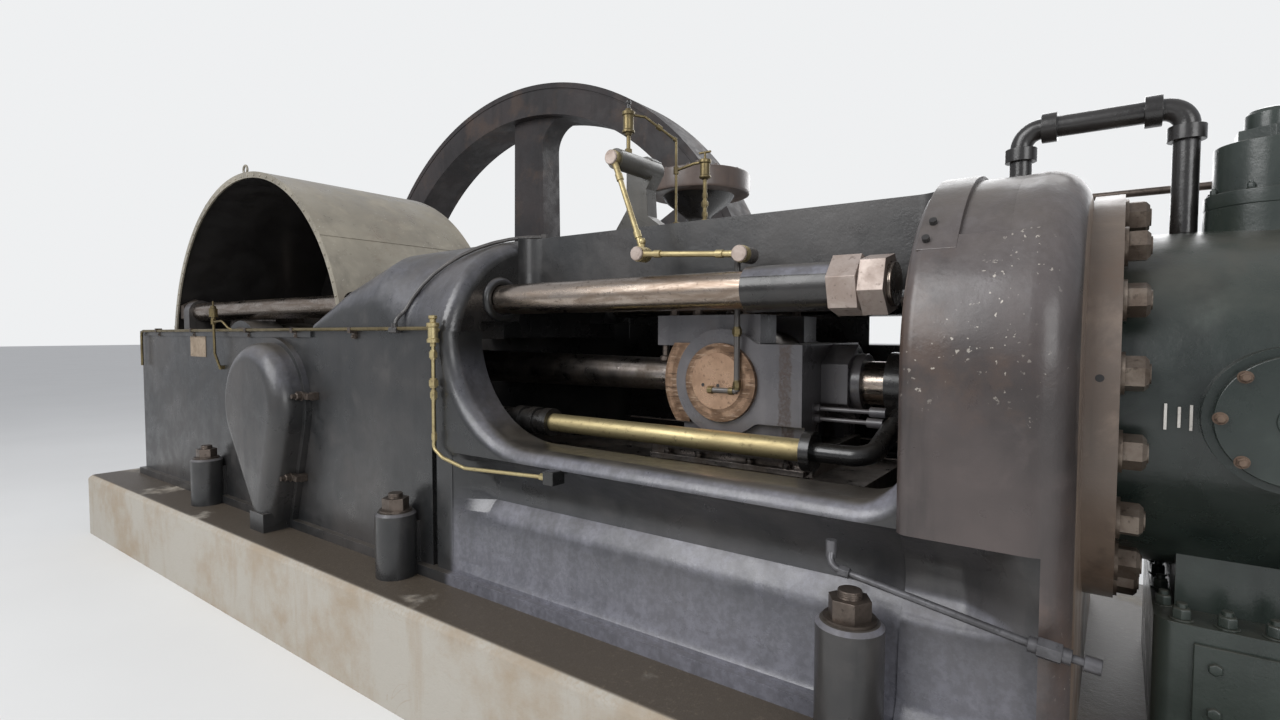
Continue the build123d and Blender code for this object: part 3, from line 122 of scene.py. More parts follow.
class Graph:
    """Node tree of one material, built from small named steps."""

    def __init__(self, name: str) -> None:
        """Starts an empty node tree with its output and its shader."""
        self.material = bpy.data.materials.new(name)
        self.material.use_nodes = True
        self.tree = self.material.node_tree
        self.tree.nodes.clear()
        self.output = self.tree.nodes.new("ShaderNodeOutputMaterial")
        self.shader = self.tree.nodes.new("ShaderNodeBsdfPrincipled")
        self.tree.links.new(self.shader.outputs["BSDF"], self.output.inputs["Surface"])
        self.coords = self.tree.nodes.new("ShaderNodeTexCoord").outputs["Object"]

    def feed(self, socket: Socket, value: Value) -> None:
        """Links or sets one input socket.

        Args:
            socket: The input.
            value: A socket to link to it, or a constant. A colour of three numbers is made opaque.
        """
        if isinstance(value, bpy.types.NodeSocket):
            self.tree.links.new(value, socket)
        elif hasattr(socket.default_value, "__len__") and len(socket.default_value) == 4:
            socket.default_value = (*value, 1.0) if len(value) == 3 else value
        else:
            socket.default_value = value

    def add(self, kind: str, inputs: dict[Union[str, int], Value], **settings: object) -> bpy.types.Node:
        """Adds a node.

        Args:
            kind: The node's type name.
            inputs: Values or sockets by input name or number.
            settings: Attributes to set on the node first.

        Returns:
            The new node.
        """
        node = self.tree.nodes.new(kind)
        for key, value in settings.items():
            setattr(node, key, value)
        for key, value in inputs.items():
            self.feed(node.inputs[key], value)
        return node

    def moved(self, offset: Point = (0, 0, 0), scale: Point = (1, 1, 1)) -> Socket:
        """Object coordinates, shifted and then stretched."""
        shifted = self.add("ShaderNodeVectorMath", {0: self.coords, 1: offset}, operation="SUBTRACT")
        scaled = self.add("ShaderNodeVectorMath", {0: shifted.outputs[0], 1: scale}, operation="MULTIPLY")
        return scaled.outputs[0]

    def noise(self, scale: float, detail: float = 4.0, rough: float = 0.55, vector: Optional[Socket] = None,
              distortion: float = 0.0) -> Socket:
        """Noise between 0 and 1.

        Args:
            scale: Cells to the metre, about.
            detail: How many finer layers it has.
            rough: How strong the finer layers are.
            vector: Coordinates to read, if not the object's own.
            distortion: How far the pattern is warped.

        Returns:
            The noise.
        """
        node = self.add("ShaderNodeTexNoise", {
            "Vector": vector or self.coords, "Scale": scale, "Detail": detail,
            "Roughness": rough, "Distortion": distortion})
        return node.outputs["Fac"]

    def span(self, value: Value, low: float, high: float, to_low: float = 0.0,
             to_high: float = 1.0) -> Socket:
        """Maps one span of values to another, clamped and eased.

        Args:
            value: What is mapped.
            low: Value that becomes to_low.
            high: Value that becomes to_high.
            to_low: Result at the low end.
            to_high: Result at the high end.

        Returns:
            The mapped value.
        """
        node = self.add("ShaderNodeMapRange", {
            "Value": value, "From Min": low, "From Max": high, "To Min": to_low, "To Max": to_high},
            interpolation_type="SMOOTHSTEP")
        return node.outputs["Result"]

    def math(self, operation: str, first: Value, second: Value = 0.0) -> Socket:
        """One arithmetic step."""
        return self.add("ShaderNodeMath", {0: first, 1: second}, operation=operation).outputs[0]

    def times(self, first: Value, second: Value) -> Socket:
        """Product of two values."""
        return self.math("MULTIPLY", first, second)

    def aside(self) -> Socket:
        """Distance from the engine's middle plane."""
        return self.math("ABSOLUTE", self.part_of("Y"))

    def blend(self, factor: Value, first: Value, second: Value) -> Socket:
        """Mixes two colours.

        Args:
            factor: Share of the second colour.
            first: The first colour.
            second: The second colour.

        Returns:
            The mixed colour.
        """
        node = self.add("ShaderNodeMix", {}, data_type="RGBA", blend_type="MIX")
        for number, value in ((0, factor), (6, first), (7, second)):
            self.feed(node.inputs[number], value)
        return node.outputs[2]

    def facing_up(self, low: float = 0.3, high: float = 0.85) -> Socket:
        """Tells the tops of a piece from its sides.

        Args:
            low: Upward part of the normal at which the result is 0.
            high: Upward part of the normal at which it is 1.

        Returns:
            The result, between 0 and 1.
        """
        normal = self.add("ShaderNodeNewGeometry", {}).outputs["Normal"]
        z = self.add("ShaderNodeSeparateXYZ", {0: normal}).outputs["Z"]
        return self.span(z, low, high)

    def part_of(self, axis: str) -> Socket:
        """One of the object coordinates."""
        return self.add("ShaderNodeSeparateXYZ", {0: self.coords}).outputs[axis]

    def bump(self, height: Socket, distance: float, strength: float = 1.0,
             under: Optional[Socket] = None) -> Socket:
        """Bends the normal by a height.

        Args:
            height: The height.
            distance: Size of the relief in metres.
            strength: Share of it that shows.
            under: An earlier bump that this one lies on.

        Returns:
            The bent normal.
        """
        inputs: dict[Union[str, int], Value] = {"Height": height, "Distance": distance, "Strength": strength}
        if under is not None:
            inputs["Normal"] = under
        return self.add("ShaderNodeBump", inputs).outputs["Normal"]

    def finish(self, colour: Value, roughness: Value, normal: Optional[Socket] = None,
               **fixed: float) -> bpy.types.Material:
        """Feeds the shader.

        Args:
            colour: Base colour.
            roughness: Roughness.
            normal: Bent normal.
            fixed: Constant values for other sockets, with _ for a space in the name.

        Returns:
            The finished material.
        """
        self.feed(self.shader.inputs["Base Color"], colour)
        self.feed(self.shader.inputs["Roughness"], roughness)
        if normal is not None:
            self.feed(self.shader.inputs["Normal"], normal)
        for key, value in fixed.items():
            self.shader.inputs[key.replace("_", " ")].default_value = value
        return self.material


@dataclass(frozen=True)
class OilyPaint:
    """Old paint on a casting: mottled, scuffed, dusty on top and wet with oil in places."""

    name: str
    dark: Point                             # colours of the mottled patches
    light: Point
    dust: Point
    dust_amount: float = 0.5
    smooth: float = 0.30                    # roughness, from wet to dry
    dull: float = 0.58
    orange_peel: float = 0.0012
    flecks: float = 0.0
    fleck_colour: Point = (0.5, 0.46, 0.4)
    rust: float = 0.0
    rust_colour: Point = (0.13, 0.075, 0.045)
    oil_dust_and_light: Point = (0.20, 0.20, 0.235)       # dried oil and dust on slopes, with painted light on the upward slopes
    oil_dust_and_light_amount: float = 0.0
    pale_from: Optional[Point] = None       # X, Z and depth below which dried oil pales the sides
    base_y: Point = (0.890, 0.855)          # distances from the middle plane: base flange, pale sides
    coat: float = 0.30
    scar: Optional[Point] = None            # span in X of a rubbed, rusty stripe
    scar_colour: Point = (0.052, 0.036, 0.030)
    inside: Optional[Point] = None          # distances from the middle plane: oily black with painted shade, plain paint
    inside_colour: Point = (0.010, 0.010, 0.010)

    def material(self) -> bpy.types.Material:
        """Builds the node tree.

        Returns:
            The finished material.
        """
        g = Graph(self.name)
        patches = g.noise(0.9, 5, 0.6)
        blotches = g.noise(6.0, 6, 0.62, distortion=0.4)
        runs = g.noise(1.0, 5, 0.6, vector=g.moved(scale=(9.0, 9.0, 0.9)))
        grain = g.noise(95.0, 3, 0.6)
        sand = g.noise(420.0, 2, 0.5)
        colour = g.blend(g.span(patches, 0.36, 0.64), self.dark, self.light)
        darker = [0.55 * v for v in self.dark]
        colour = g.blend(g.times(g.span(runs, 0.5, 0.72), 0.55), colour, darker)
        lighter = [min(1.0, 1.55 * v) for v in self.light]
        colour = g.blend(g.times(g.span(blotches, 0.52, 0.75), 0.35), colour, lighter)
        if self.rust:
            rusty = g.times(g.span(g.noise(2.6, 7, 0.7), 0.5, 0.68), self.rust)
            colour = g.blend(rusty, colour, self.rust_colour)
        if self.scar:
            colour = g.blend(self.scar_mask(g, grain), colour, self.scar_colour)
        # painted shade with oil: the inner faces of the guide's window go near-black
        if self.inside:
            colour = g.blend(self.inside_mask(g), colour, self.inside_colour)
        dusty = g.times(g.facing_up(), g.span(blotches, 0.3, 0.66, 0.35, 1.0))
        dusty = g.times(dusty, self.dust_amount)
        colour = g.blend(dusty, colour, self.dust)
        # dried oil and dust, with painted light on the slopes that face partly up
        if self.oil_dust_and_light_amount:
            colour = g.blend(self.oil_dust_and_light_mask(g, runs), colour, self.oil_dust_and_light)
        if self.flecks:
            spots = g.times(g.span(g.noise(70.0, 2, 0.5), 0.665, 0.7), g.span(g.noise(2.1, 3), 0.5, 0.62))
            colour = g.blend(g.times(spots, self.flecks), colour, self.fleck_colour)
        roughness = g.span(blotches, 0.3, 0.7, self.smooth, self.dull)
        roughness = g.math("ADD", roughness, g.times(dusty, 0.22))
        normal = g.bump(g.noise(7.0, 3, 0.5), 0.006, 0.6)
        normal = g.bump(grain, self.orange_peel, 0.5, normal)
        normal = g.bump(sand, self.orange_peel * 0.3, 0.4, normal)
        return g.finish(colour, roughness, normal, Coat_Weight=self.coat, Coat_Roughness=0.20)

    def scar_mask(self, g: Graph, grain: Socket) -> Socket:
        """Mask of the rubbed stripe, with frayed edges.

        Args:
            g: The material's node tree.
            grain: Fine noise that breaks it up.

        Returns:
            The mask.
        """
        frayed = g.math("ADD", g.part_of("X"), g.times(g.noise(30.0, 4, 0.7), 0.03))
        left = g.span(frayed, self.scar[0] + 0.010, self.scar[0] + 0.020)
        right = g.span(frayed, self.scar[1] + 0.020, self.scar[1] + 0.010)
        return g.times(g.times(left, right), g.span(grain, 0.35, 0.6, 0.4, 1.0))

    def inside_mask(self, g: Graph) -> Socket:
        """Mask of the oily inside of the guide, darkened as painted shade, soft at its edges.

        Args:
            g: The material's node tree.

        Returns:
            The mask.
        """
        z = g.part_of("Z")
        within = g.span(g.aside(), self.inside[1], self.inside[0])
        height = g.times(g.span(z, 2.60, 2.70), g.span(z, 3.52, 3.45))
        return g.times(within, g.times(height, g.span(g.part_of("X"), 2.45, 2.60)))

    def oil_dust_and_light_mask(self, g: Graph, runs: Socket) -> Socket:
        """Mask of dried oil and dust with painted light on the upward slopes and, below pale_from, of dried
        oil on the sides.

        Args:
            g: The material's node tree.
            runs: Noise in upright runs.

        Returns:
            The mask.
        """
        # painted light: slopes facing partly up get the paler, bluish colour, as if lit from above
        slope = g.times(g.facing_up(0.10, 0.42), g.span(runs, 0.30, 0.62, 1.0, 0.55))
        slope = g.times(slope, g.facing_up(0.92, 0.70))
        if self.pale_from:
            x, z, depth = self.pale_from
            low = g.times(g.span(g.part_of("X"), x, x + 0.05), g.span(g.part_of("Z"), z, z - depth))
            low = g.times(low, g.span(g.aside(), *self.base_y))
            slope = g.times(slope, g.span(g.part_of("X"), x + 0.05, x + 0.40, 0.45, 1.0))
            slope = g.math("MAXIMUM", slope, g.times(low, g.span(runs, 0.30, 0.62, 1.0, 0.75)))
        speckle = g.span(g.noise(38.0, 5, 0.7), 0.40, 0.62, 0.70, 1.0)
        return g.times(g.times(slope, speckle), self.oil_dust_and_light_amount)


@dataclass(frozen=True)
class WornMetal:
    """Bare metal with a film of oil or rust and fine turning marks."""

    name: str
    bright: Point
    film: Point
    film_amount: float = 0.5
    smooth: float = 0.22                    # roughness, from polished to dull
    dull: float = 0.5
    streak: Point = (1.0, 1.0, 1.0)         # stretch of the pattern along each axis
    metallic: float = 1.0
    scale: float = 9.0

    def material(self) -> bpy.types.Material:
        """Builds the node tree.

        Returns:
            The finished material.
        """
        g = Graph(self.name)
        along = g.noise(self.scale, 6, 0.65, vector=g.moved(scale=self.streak), distortion=0.3)
        spots = g.noise(55.0, 4, 0.6)
        marks = g.noise(260.0, 2, 0.5, vector=g.moved(scale=self.streak))
        cover = g.times(g.span(along, 0.36, 0.66), self.film_amount)
        colour = g.blend(cover, self.bright, self.film)
        darker = [0.45 * v for v in self.film]
        colour = g.blend(g.times(g.span(spots, 0.56, 0.72), 0.6), colour, darker)
        roughness = g.span(along, 0.3, 0.7, self.smooth, self.dull)
        normal = g.bump(marks, 0.0004, 0.5, g.bump(spots, 0.0006, 0.4))
        return g.finish(colour, roughness, normal, Metallic=self.metallic)


@dataclass(frozen=True)
class StainedConcrete:
    """Painted concrete: chalky sides with stains and hairline cracks, oil-soaked top."""

    name: str = "stained_concrete"
    chalk: Point = (0.40, 0.375, 0.33)
    stain: Point = (0.33, 0.27, 0.20)
    oil: Point = (0.075, 0.06, 0.045)

    def material(self) -> bpy.types.Material:
        """Builds the node tree.

        Returns:
            The finished material.
        """
        g = Graph(self.name)
        patches = g.noise(1.6, 6, 0.65)
        runs = g.noise(1.0, 6, 0.65, vector=g.moved(scale=(6.0, 6.0, 1.1)))
        grit = g.noise(55.0, 5, 0.7)
        sand = g.noise(300.0, 2, 0.6)
        colour = g.blend(g.span(patches, 0.42, 0.66), self.chalk, self.stain)
        colour = g.blend(g.times(g.span(runs, 0.5, 0.7), 0.5), colour, self.stain)
        wander = g.noise(1.3, 5, 0.7, distortion=0.6)
        crack = g.times(g.span(g.math("ABSOLUTE", g.math("SUBTRACT", wander, 0.5)), 0.0035, 0.0),
                       g.span(g.noise(0.7, 2), 0.52, 0.6))
        colour = g.blend(g.times(crack, 0.5), colour, self.stain)
        soaked = g.times(g.facing_up(0.75, 0.98), g.span(patches, 0.32, 0.44))
        splash = g.times(g.span(g.part_of("Z"), 2.02, 2.075), g.span(grit, 0.42, 0.6))
        colour = g.blend(g.times(splash, 0.45), colour, self.stain)
        colour = g.blend(soaked, colour, self.oil)
        colour = g.blend(g.times(g.span(grit, 0.55, 0.75), 0.25), colour, self.stain)
        roughness = g.math("SUBTRACT", 0.88, g.times(soaked, 0.4))
        normal = g.bump(sand, 0.0008, 0.5, g.bump(grit, 0.004, 0.6, g.bump(patches, 0.02, 0.5)))
        return g.finish(colour, roughness, normal)


@dataclass(frozen=True)
class TurnedFace:
    """Bronze pin end, turned in rings about its own axis along Y."""

    name: str
    centre: Point
    bright: Point = (0.36, 0.235, 0.155)
    film: Point = (0.13, 0.078, 0.048)
    scratch: Point = (0.46, 0.35, 0.26)
    groove: Point = (0.05, 0.03, 0.02)
    pitch: float = 0.007                    # of the turned rings

    def material(self) -> bpy.types.Material:
        """Builds the node tree.

        Returns:
            The finished material.
        """
        g = Graph(self.name)
        local = g.moved(offset=self.centre)
        rings = g.add("ShaderNodeTexWave", {
            "Vector": local, "Scale": 1.0 / (self.pitch * 20.0), "Distortion": 1.4, "Detail": 3.0,
            "Detail Scale": 6.0}, wave_type="RINGS", rings_direction="Y").outputs["Fac"]
        scratches = g.noise(9.0, 6, 0.7, vector=g.moved(scale=(1.2, 1.0, 9.0)))
        patches = g.noise(14.0, 5, 0.6)
        colour = g.blend(g.span(patches, 0.35, 0.65), self.bright, self.film)
        colour = g.blend(g.times(g.span(rings, 0.2, 0.8), 0.6), colour, self.film)
        colour = g.blend(g.times(g.span(scratches, 0.55, 0.62), 0.55), colour, self.scratch)
        colour = g.blend(g.times(g.span(scratches, 0.44, 0.38), 0.7), colour, self.groove)
        normal = g.bump(scratches, 0.0008, 0.4, g.bump(rings, 0.0012, 0.6))
        return g.finish(colour, g.span(patches, 0.3, 0.7, 0.3, 0.5), normal, Metallic=0.75)


class Finishes:
    """All the finishes of the engine, built once."""

    def __init__(self) -> None:
        """Builds every material."""
        dust = (0.105, 0.088, 0.068)
        self.frame = OilyPaint(
            "frame_paint", (0.015, 0.016, 0.017), (0.048, 0.044, 0.042), dust, 0.45, 0.24, 0.50,
            oil_dust_and_light_amount=0.8, pale_from=(2.60, 2.58, 0.40), inside=(0.655, 0.775)).material()
        self.adapter = OilyPaint(
            "adapter_paint", (0.031, 0.025, 0.024), (0.075, 0.058, 0.054), dust, 0.5, 0.26, 0.5, flecks=0.9,
            rust=0.3, oil_dust_and_light=(0.19, 0.175, 0.18), oil_dust_and_light_amount=0.35, pale_from=(4.4, 2.62, 0.4)).material()
        self.flange = OilyPaint(
            "flange_paint", (0.11, 0.082, 0.064), (0.21, 0.158, 0.122), dust, 0.4, 0.28, 0.5,
            rust=0.45).material()
        self.cylinder = OilyPaint(
            "cylinder_paint", (0.015, 0.022, 0.019), (0.036, 0.047, 0.040), dust, 0.35, 0.22, 0.45).material()
        self.wheel = OilyPaint(
            "wheel_paint", (0.016, 0.014, 0.015), (0.036, 0.029, 0.029), dust, 0.0, 0.5, 0.75,
            rust=0.25, coat=0.0).material()
        self.hood = OilyPaint(
            "hood_paint", (0.16, 0.142, 0.108), (0.29, 0.262, 0.205), (0.33, 0.29, 0.22), 0.5, 0.22, 0.42,
            0.0005, flecks=0.5, fleck_colour=(0.62, 0.60, 0.52), rust=0.35).material()
        # near-black painted shade: the inside of the hood and the dark holes
        self.painted_shade = OilyPaint(
            "painted_shade_paint", (0.010, 0.009, 0.009), (0.018, 0.016, 0.015), dust, 0.0, 0.45,
            0.7).material()
        self.black = OilyPaint(
            "black_oily_iron", (0.008, 0.008, 0.008), (0.020, 0.018, 0.017), dust, 0.10, 0.16,
            0.40).material()
        self.crosshead = OilyPaint(
            "oily_crosshead_steel", (0.055, 0.054, 0.060), (0.115, 0.108, 0.112), dust, 0.2, 0.22, 0.42,
            rust=0.2, scar=(4.035, 4.085)).material()
        self.dark_pipe = OilyPaint(
            "dark_pipe_paint", (0.040, 0.037, 0.036), (0.085, 0.076, 0.070), dust, 0.3, 0.25,
            0.42).material()
        self.drum = OilyPaint(
            "drum_paint", (0.080, 0.056, 0.046), (0.15, 0.108, 0.088), dust, 0.45, rust=0.3).material()
        self.stand = OilyPaint(
            "stand_paint", (0.024, 0.023, 0.019), (0.056, 0.050, 0.038), dust, 0.3, 0.24, 0.5).material()
        self.iron = WornMetal(
            "machined_iron", (0.30, 0.27, 0.25), (0.10, 0.075, 0.055), 0.75, 0.25).material()
        self.rod = WornMetal(
            "polished_rod", (0.42, 0.36, 0.31), (0.17, 0.12, 0.085), 0.8, 0.16, 0.4,
            (0.35, 2.2, 2.2)).material()
        self.nut = WornMetal(
            "nut_steel", (0.44, 0.37, 0.33), (0.25, 0.185, 0.15), 0.6, 0.42, 0.6, metallic=0.45).material()
        self.dark_nut = WornMetal(
            "dark_nut_steel", (0.16, 0.13, 0.11), (0.05, 0.04, 0.033), 0.7, 0.3, 0.55,
            metallic=0.8).material()
        self.brass = WornMetal(
            "worn_brass", (0.50, 0.42, 0.225), (0.29, 0.225, 0.12), 0.6, 0.36, 0.55, (0.4, 1.6, 1.6),
            metallic=0.85).material()
        self.dull_brass = WornMetal(
            "dull_brass", (0.20, 0.158, 0.078), (0.085, 0.067, 0.040), 0.7, 0.32, 0.55,
            metallic=0.85).material()
        self.flange_nut = WornMetal(
            "flange_nut_steel", (0.20, 0.165, 0.135), (0.075, 0.052, 0.038), 0.8, 0.3,
            metallic=0.7).material()
        self.rusty_nut = WornMetal(
            "rusty_bolt_steel", (0.17, 0.118, 0.085), (0.075, 0.048, 0.034), 0.8, 0.4, 0.65,
            metallic=0.4).material()
        self.drain = WornMetal(
            "drain_pipe_iron", (0.13, 0.128, 0.135), (0.045, 0.043, 0.045), 0.7, 0.28,
            metallic=0.5).material()
        self.dab = WornMetal(
            "chalky_dab", (0.62, 0.60, 0.56), (0.36, 0.32, 0.28), 0.5, 0.6, 0.8, metallic=0.0).material()
        self.plate = WornMetal(
            "tan_plate", (0.36, 0.28, 0.20), (0.20, 0.15, 0.105), 0.7, 0.4, 0.6, metallic=0.35).material()
        self.pin_centre = WornMetal(
            "pin_centre_bronze", (0.46, 0.30, 0.20), (0.20, 0.12, 0.075), 0.6, 0.24, 0.42,
            metallic=0.7).material()
        self.concrete = StainedConcrete().material()
        self.pin_face = TurnedFace("pin_bronze", (PIN_X, 0.0, CRANK_Z)).material()


class Shape:
    """One mesh while it is being made."""

    def __init__(self) -> None:
        """Starts an empty mesh."""
        self.bm = bmesh.new()

    @staticmethod
    def turn_to(direction: Vector, at: Point) -> Matrix:
        """Matrix that takes +Z to a direction and the origin to a point.

        Args:
            direction: Where +Z goes.
            at: Where the origin goes.

        Returns:
            The matrix.
        """
        turned = direction.normalized().to_track_quat("Z", "Y").to_matrix().to_4x4()
        return Matrix.Translation(Vector(at)) @ turned

    def block(self, low: Point, high: Point) -> list[bmesh.types.BMVert]:
        """Adds a rectangular block.

        Args:
            low: Its corner with the lowest coordinates.
            high: The opposite corner.

        Returns:
            Its vertices.
        """
        made = bmesh.ops.create_cube(self.bm, size=1.0)["verts"]
        size = Vector(high) - Vector(low)
        bmesh.ops.scale(self.bm, vec=size, verts=made)
        bmesh.ops.translate(self.bm, vec=(Vector(low) + Vector(high)) / 2, verts=made)
        return made

    def prism(self, start: Point, end: Point, radius: float, sides: int = 48,
              turn: float = 0.0) -> list[bmesh.types.BMVert]:
        """Adds a closed prism or round bar.

        Args:
            start: Middle of its first end.
            end: Middle of its other end.
            radius: Radius through the corners.
            sides: How many sides it has.
            turn: Angle of its first corner.

        Returns:
            Its vertices.
        """
        line = Vector(end) - Vector(start)
        place = self.turn_to(line, (Vector(start) + Vector(end)) / 2) @ Matrix.Rotation(turn, 4, "Z")
        return bmesh.ops.create_cone(
            self.bm, cap_ends=True, segments=sides, radius1=radius, radius2=radius, depth=line.length,
            matrix=place)["verts"]

    def post(self, x: float, y: float, start: float, end: float, radius: float, sides: int) -> None:
        """Adds an upright prism from one height to another."""
        self.prism((x, y, start), (x, y, end), radius, sides)

    def union(self, at: Point, radius: float, nut: float, collar: float, share: float) -> None:
        """Adds a hexagon union with a round collar, on an upright pipe.

        Args:
            at: Its middle.
            radius: Radius of the hexagon.
            nut: Half the height of the hexagon.
            collar: Half the height of the collar.
            share: Radius of the collar as a share of the hexagon's.
        """
        x, y, z = at
        self.post(x, y, z - nut, z + nut, radius, 6)
        self.post(x, y, z - collar, z + collar, radius * share, 16)

    def pair(self, x: Point, y: Point, z: Point) -> None:
        """Adds a block on each side of the middle plane.

        Args:
            x: Its ends in X.
            y: Its nearer and farther distance from the middle plane.
            z: Its ends in Z.
        """
        self.block((x[0], -y[1], z[0]), (x[1], -y[0], z[1]))
        self.block((x[0], y[0], z[0]), (x[1], y[1], z[1]))

    def lathe(self, at: Point, axis: Vector, profile: Sequence[Point], steps: int) -> None:
        """Turns a profile into a closed shell.

        Args:
            at: Point of the axis from which the profile counts.
            axis: Direction of the axis.
            profile: Points of the profile, each a distance along the axis and a radius.
            steps: Steps of the full turn.
        """
        place = self.turn_to(axis, at)
        verts = [self.bm.verts.new(place @ Vector((radius, 0, along))) for along, radius in profile]
        edges = [self.bm.edges.new(pair) for pair in zip(verts, verts[1:])]
        before = set(self.bm.verts) - set(verts)
        bmesh.ops.spin(
            self.bm, geom=verts + edges, cent=Vector(at), axis=axis.normalized(), angle=math.tau,
            steps=steps, use_merge=True)
        made = [vert for vert in self.bm.verts if vert not in before]
        bmesh.ops.remove_doubles(self.bm, verts=made, dist=WELD)
        made = [vert for vert in self.bm.verts if vert not in before]
        faces = {face for vert in made for face in vert.link_faces}
        bmesh.ops.recalc_face_normals(self.bm, faces=list(faces))

    def bolt(self, at: Point, way: Vector, across: float, height: float, stud: float = 0.0,
             turn: float = 0.0) -> None:
        """Adds a hexagon nut or bolt head on a washer.

        Args:
            at: Middle of the seat.
            way: Direction away from the seat.
            across: Width across the corners.
            height: Height of the hexagon.
            stud: Length of the stud that stands out of it.
            turn: Angle of its first corner.
        """
        out = way.normalized()
        seat = Vector(at)
        washer = 0.10 * across
        self.prism(seat - out * 0.001, seat + out * washer, 0.60 * across, 24)
        nut = self.prism(seat + out * washer, seat + out * (washer + height), 0.5 * across, 6, turn=turn)
        rim = [edge for edge in {e for vert in nut for e in vert.link_edges}
               if all((vert.co - seat).dot(out) > washer + 0.5 * height for vert in edge.verts)]
        bmesh.ops.bevel(
            self.bm, geom=rim, offset=0.10 * across, segments=1, profile=0.5, affect="EDGES", material=-1)
        if stud:
            top = seat + out * (washer + height)
            self.prism(top - out * 0.002, top + out * stud, 0.28 * across, 20)

    def rivet(self, at: Point, way: Vector, radius: float) -> None:
        """Adds a round rivet head, half sunk.

        Args:
            at: Middle of the head, on the surface.
            way: Direction away from the surface.
            radius: Radius of the head.
        """
        place = self.turn_to(way, at) @ Matrix.Diagonal((1.0, 1.0, 0.62, 1.0))
        bmesh.ops.create_uvsphere(self.bm, u_segments=12, v_segments=8, radius=radius, matrix=place)

    def ring(self, centre: Point, axis: Vector, radius: float, wire: float, steps: int = 40) -> None:
        """Adds a round wire bent to a full circle.

        Args:
            centre: Centre of the circle.
            axis: The circle's axis.
            radius: Radius of the circle.
            wire: Radius of the wire.
            steps: Steps of the full turn.
        """
        across = axis.orthogonal().normalized()
        place = self.turn_to(across.cross(axis), Vector(centre) + across * radius)
        circle = bmesh.ops.create_circle(
            self.bm, cap_ends=False, segments=10, radius=wire, matrix=place)["verts"]
        edges = list({edge for vert in circle for edge in vert.link_edges})
        bmesh.ops.spin(
            self.bm, geom=circle + edges, cent=Vector(centre), axis=axis.normalized(), angle=math.tau,
            steps=steps, use_merge=True)
        self.turn_out(circle[0])

    def pipe(self, points: Sequence[Point], radius: float, bend: float, sides: int = 16,
             bend_steps: int = 8) -> None:
        """Adds a closed pipe with an elbow at each corner of its route.

        Args:
            points: The route.
            radius: Radius of the pipe.
            bend: Radius of the elbows, cut down where a stretch is short.
            sides: Sides of the pipe's section.
            bend_steps: Steps of one elbow.
        """
        route = [Vector(point) for point in points]
        lengths = [(b - a).length for a, b in zip(route, route[1:])]
        ways = [(b - a).normalized() for a, b in zip(route, route[1:])]
        ring = bmesh.ops.create_circle(
            self.bm, cap_ends=False, segments=sides, radius=radius,
            matrix=self.turn_to(ways[0], route[0]))["verts"]
        edges = list({edge for vert in ring for edge in vert.link_edges})
        first_ring = list(edges)
        used = 0.0
        for index, (way, length) in enumerate(zip(ways, lengths)):
            last = index == len(ways) - 1
            angle = 0.0 if last else way.angle(ways[index + 1])
            trim = 0.0 if last else min(bend * math.tan(angle / 2), 0.48 * length, 0.48 * lengths[index + 1])
            grown = bmesh.ops.extrude_edge_only(self.bm, edges=edges)["geom"]
            verts = [item for item in grown if isinstance(item, bmesh.types.BMVert)]
            bmesh.ops.translate(self.bm, vec=way * (length - used - trim), verts=verts)
            edges = [item for item in grown if isinstance(item, bmesh.types.BMEdge)
                     and all(vert in verts for vert in item.verts)]
            used = trim
            if last or angle < 1e-3:
                continue
            arc = trim / math.tan(angle / 2)
            inward = (ways[index + 1] - way * way.dot(ways[index + 1])).normalized()
            centre = route[index + 1] - way * trim + inward * arc
            spun = bmesh.ops.spin(
                self.bm, geom=verts + edges, cent=centre, axis=way.cross(ways[index + 1]).normalized(),
                angle=angle, steps=bend_steps)["geom_last"]
            edges = [item for item in spun if isinstance(item, bmesh.types.BMEdge)]
        bmesh.ops.holes_fill(self.bm, edges=first_ring, sides=sides)
        bmesh.ops.holes_fill(self.bm, edges=edges, sides=sides)
        self.turn_out(first_ring[0].verts[0])

    def turn_out(self, seed: bmesh.types.BMVert) -> None:
        """Turns the faces of one closed form outwards.

        Args:
            seed: Any vertex of the form.
        """
        found, queue = {seed}, [seed]
        while queue:
            for edge in queue.pop().link_edges:
                fresh = set(edge.verts) - found
                found |= fresh
                queue.extend(fresh)
        faces = {face for vert in found for face in vert.link_faces}
        bmesh.ops.recalc_face_normals(self.bm, faces=list(faces))

    def ease(self, offset: float, segments: int = 2, angle: float = 28.0) -> Shape:
        """Bevels the sharp edges of the mesh.

        Args:
            offset: Width of the bevel.
            segments: Steps across it.
            angle: Angle between faces, in degrees, above which an edge counts as sharp.

        Returns:
            The shape itself.
        """
        limit = math.radians(angle)
        edges = [edge for edge in self.bm.edges
                 if len(edge.link_faces) == 2 and edge.calc_face_angle(0.0) > limit]
        if edges:
            bmesh.ops.bevel(
                self.bm, geom=edges, offset=offset, segments=segments, profile=0.5,
                affect="EDGES", material=-1, clamp_overlap=True, loop_slide=True)
        return self

    def cut(self, at: Point, normal: Point, clear: bool = False) -> list[bmesh.types.BMEdge]:
        """Cuts the mesh along a plane.

        Args:
            at: A point of the plane.
            normal: The plane's normal.
            clear: Whether the side that the normal points to is taken away.

        Returns:
            The edges of the cut.
        """
        everything = self.bm.verts[:] + self.bm.edges[:] + self.bm.faces[:]
        made = bmesh.ops.bisect_plane(
            self.bm, geom=everything, plane_co=at, plane_no=normal, clear_outer=clear)["geom_cut"]
        return [item for item in made if isinstance(item, bmesh.types.BMEdge)]

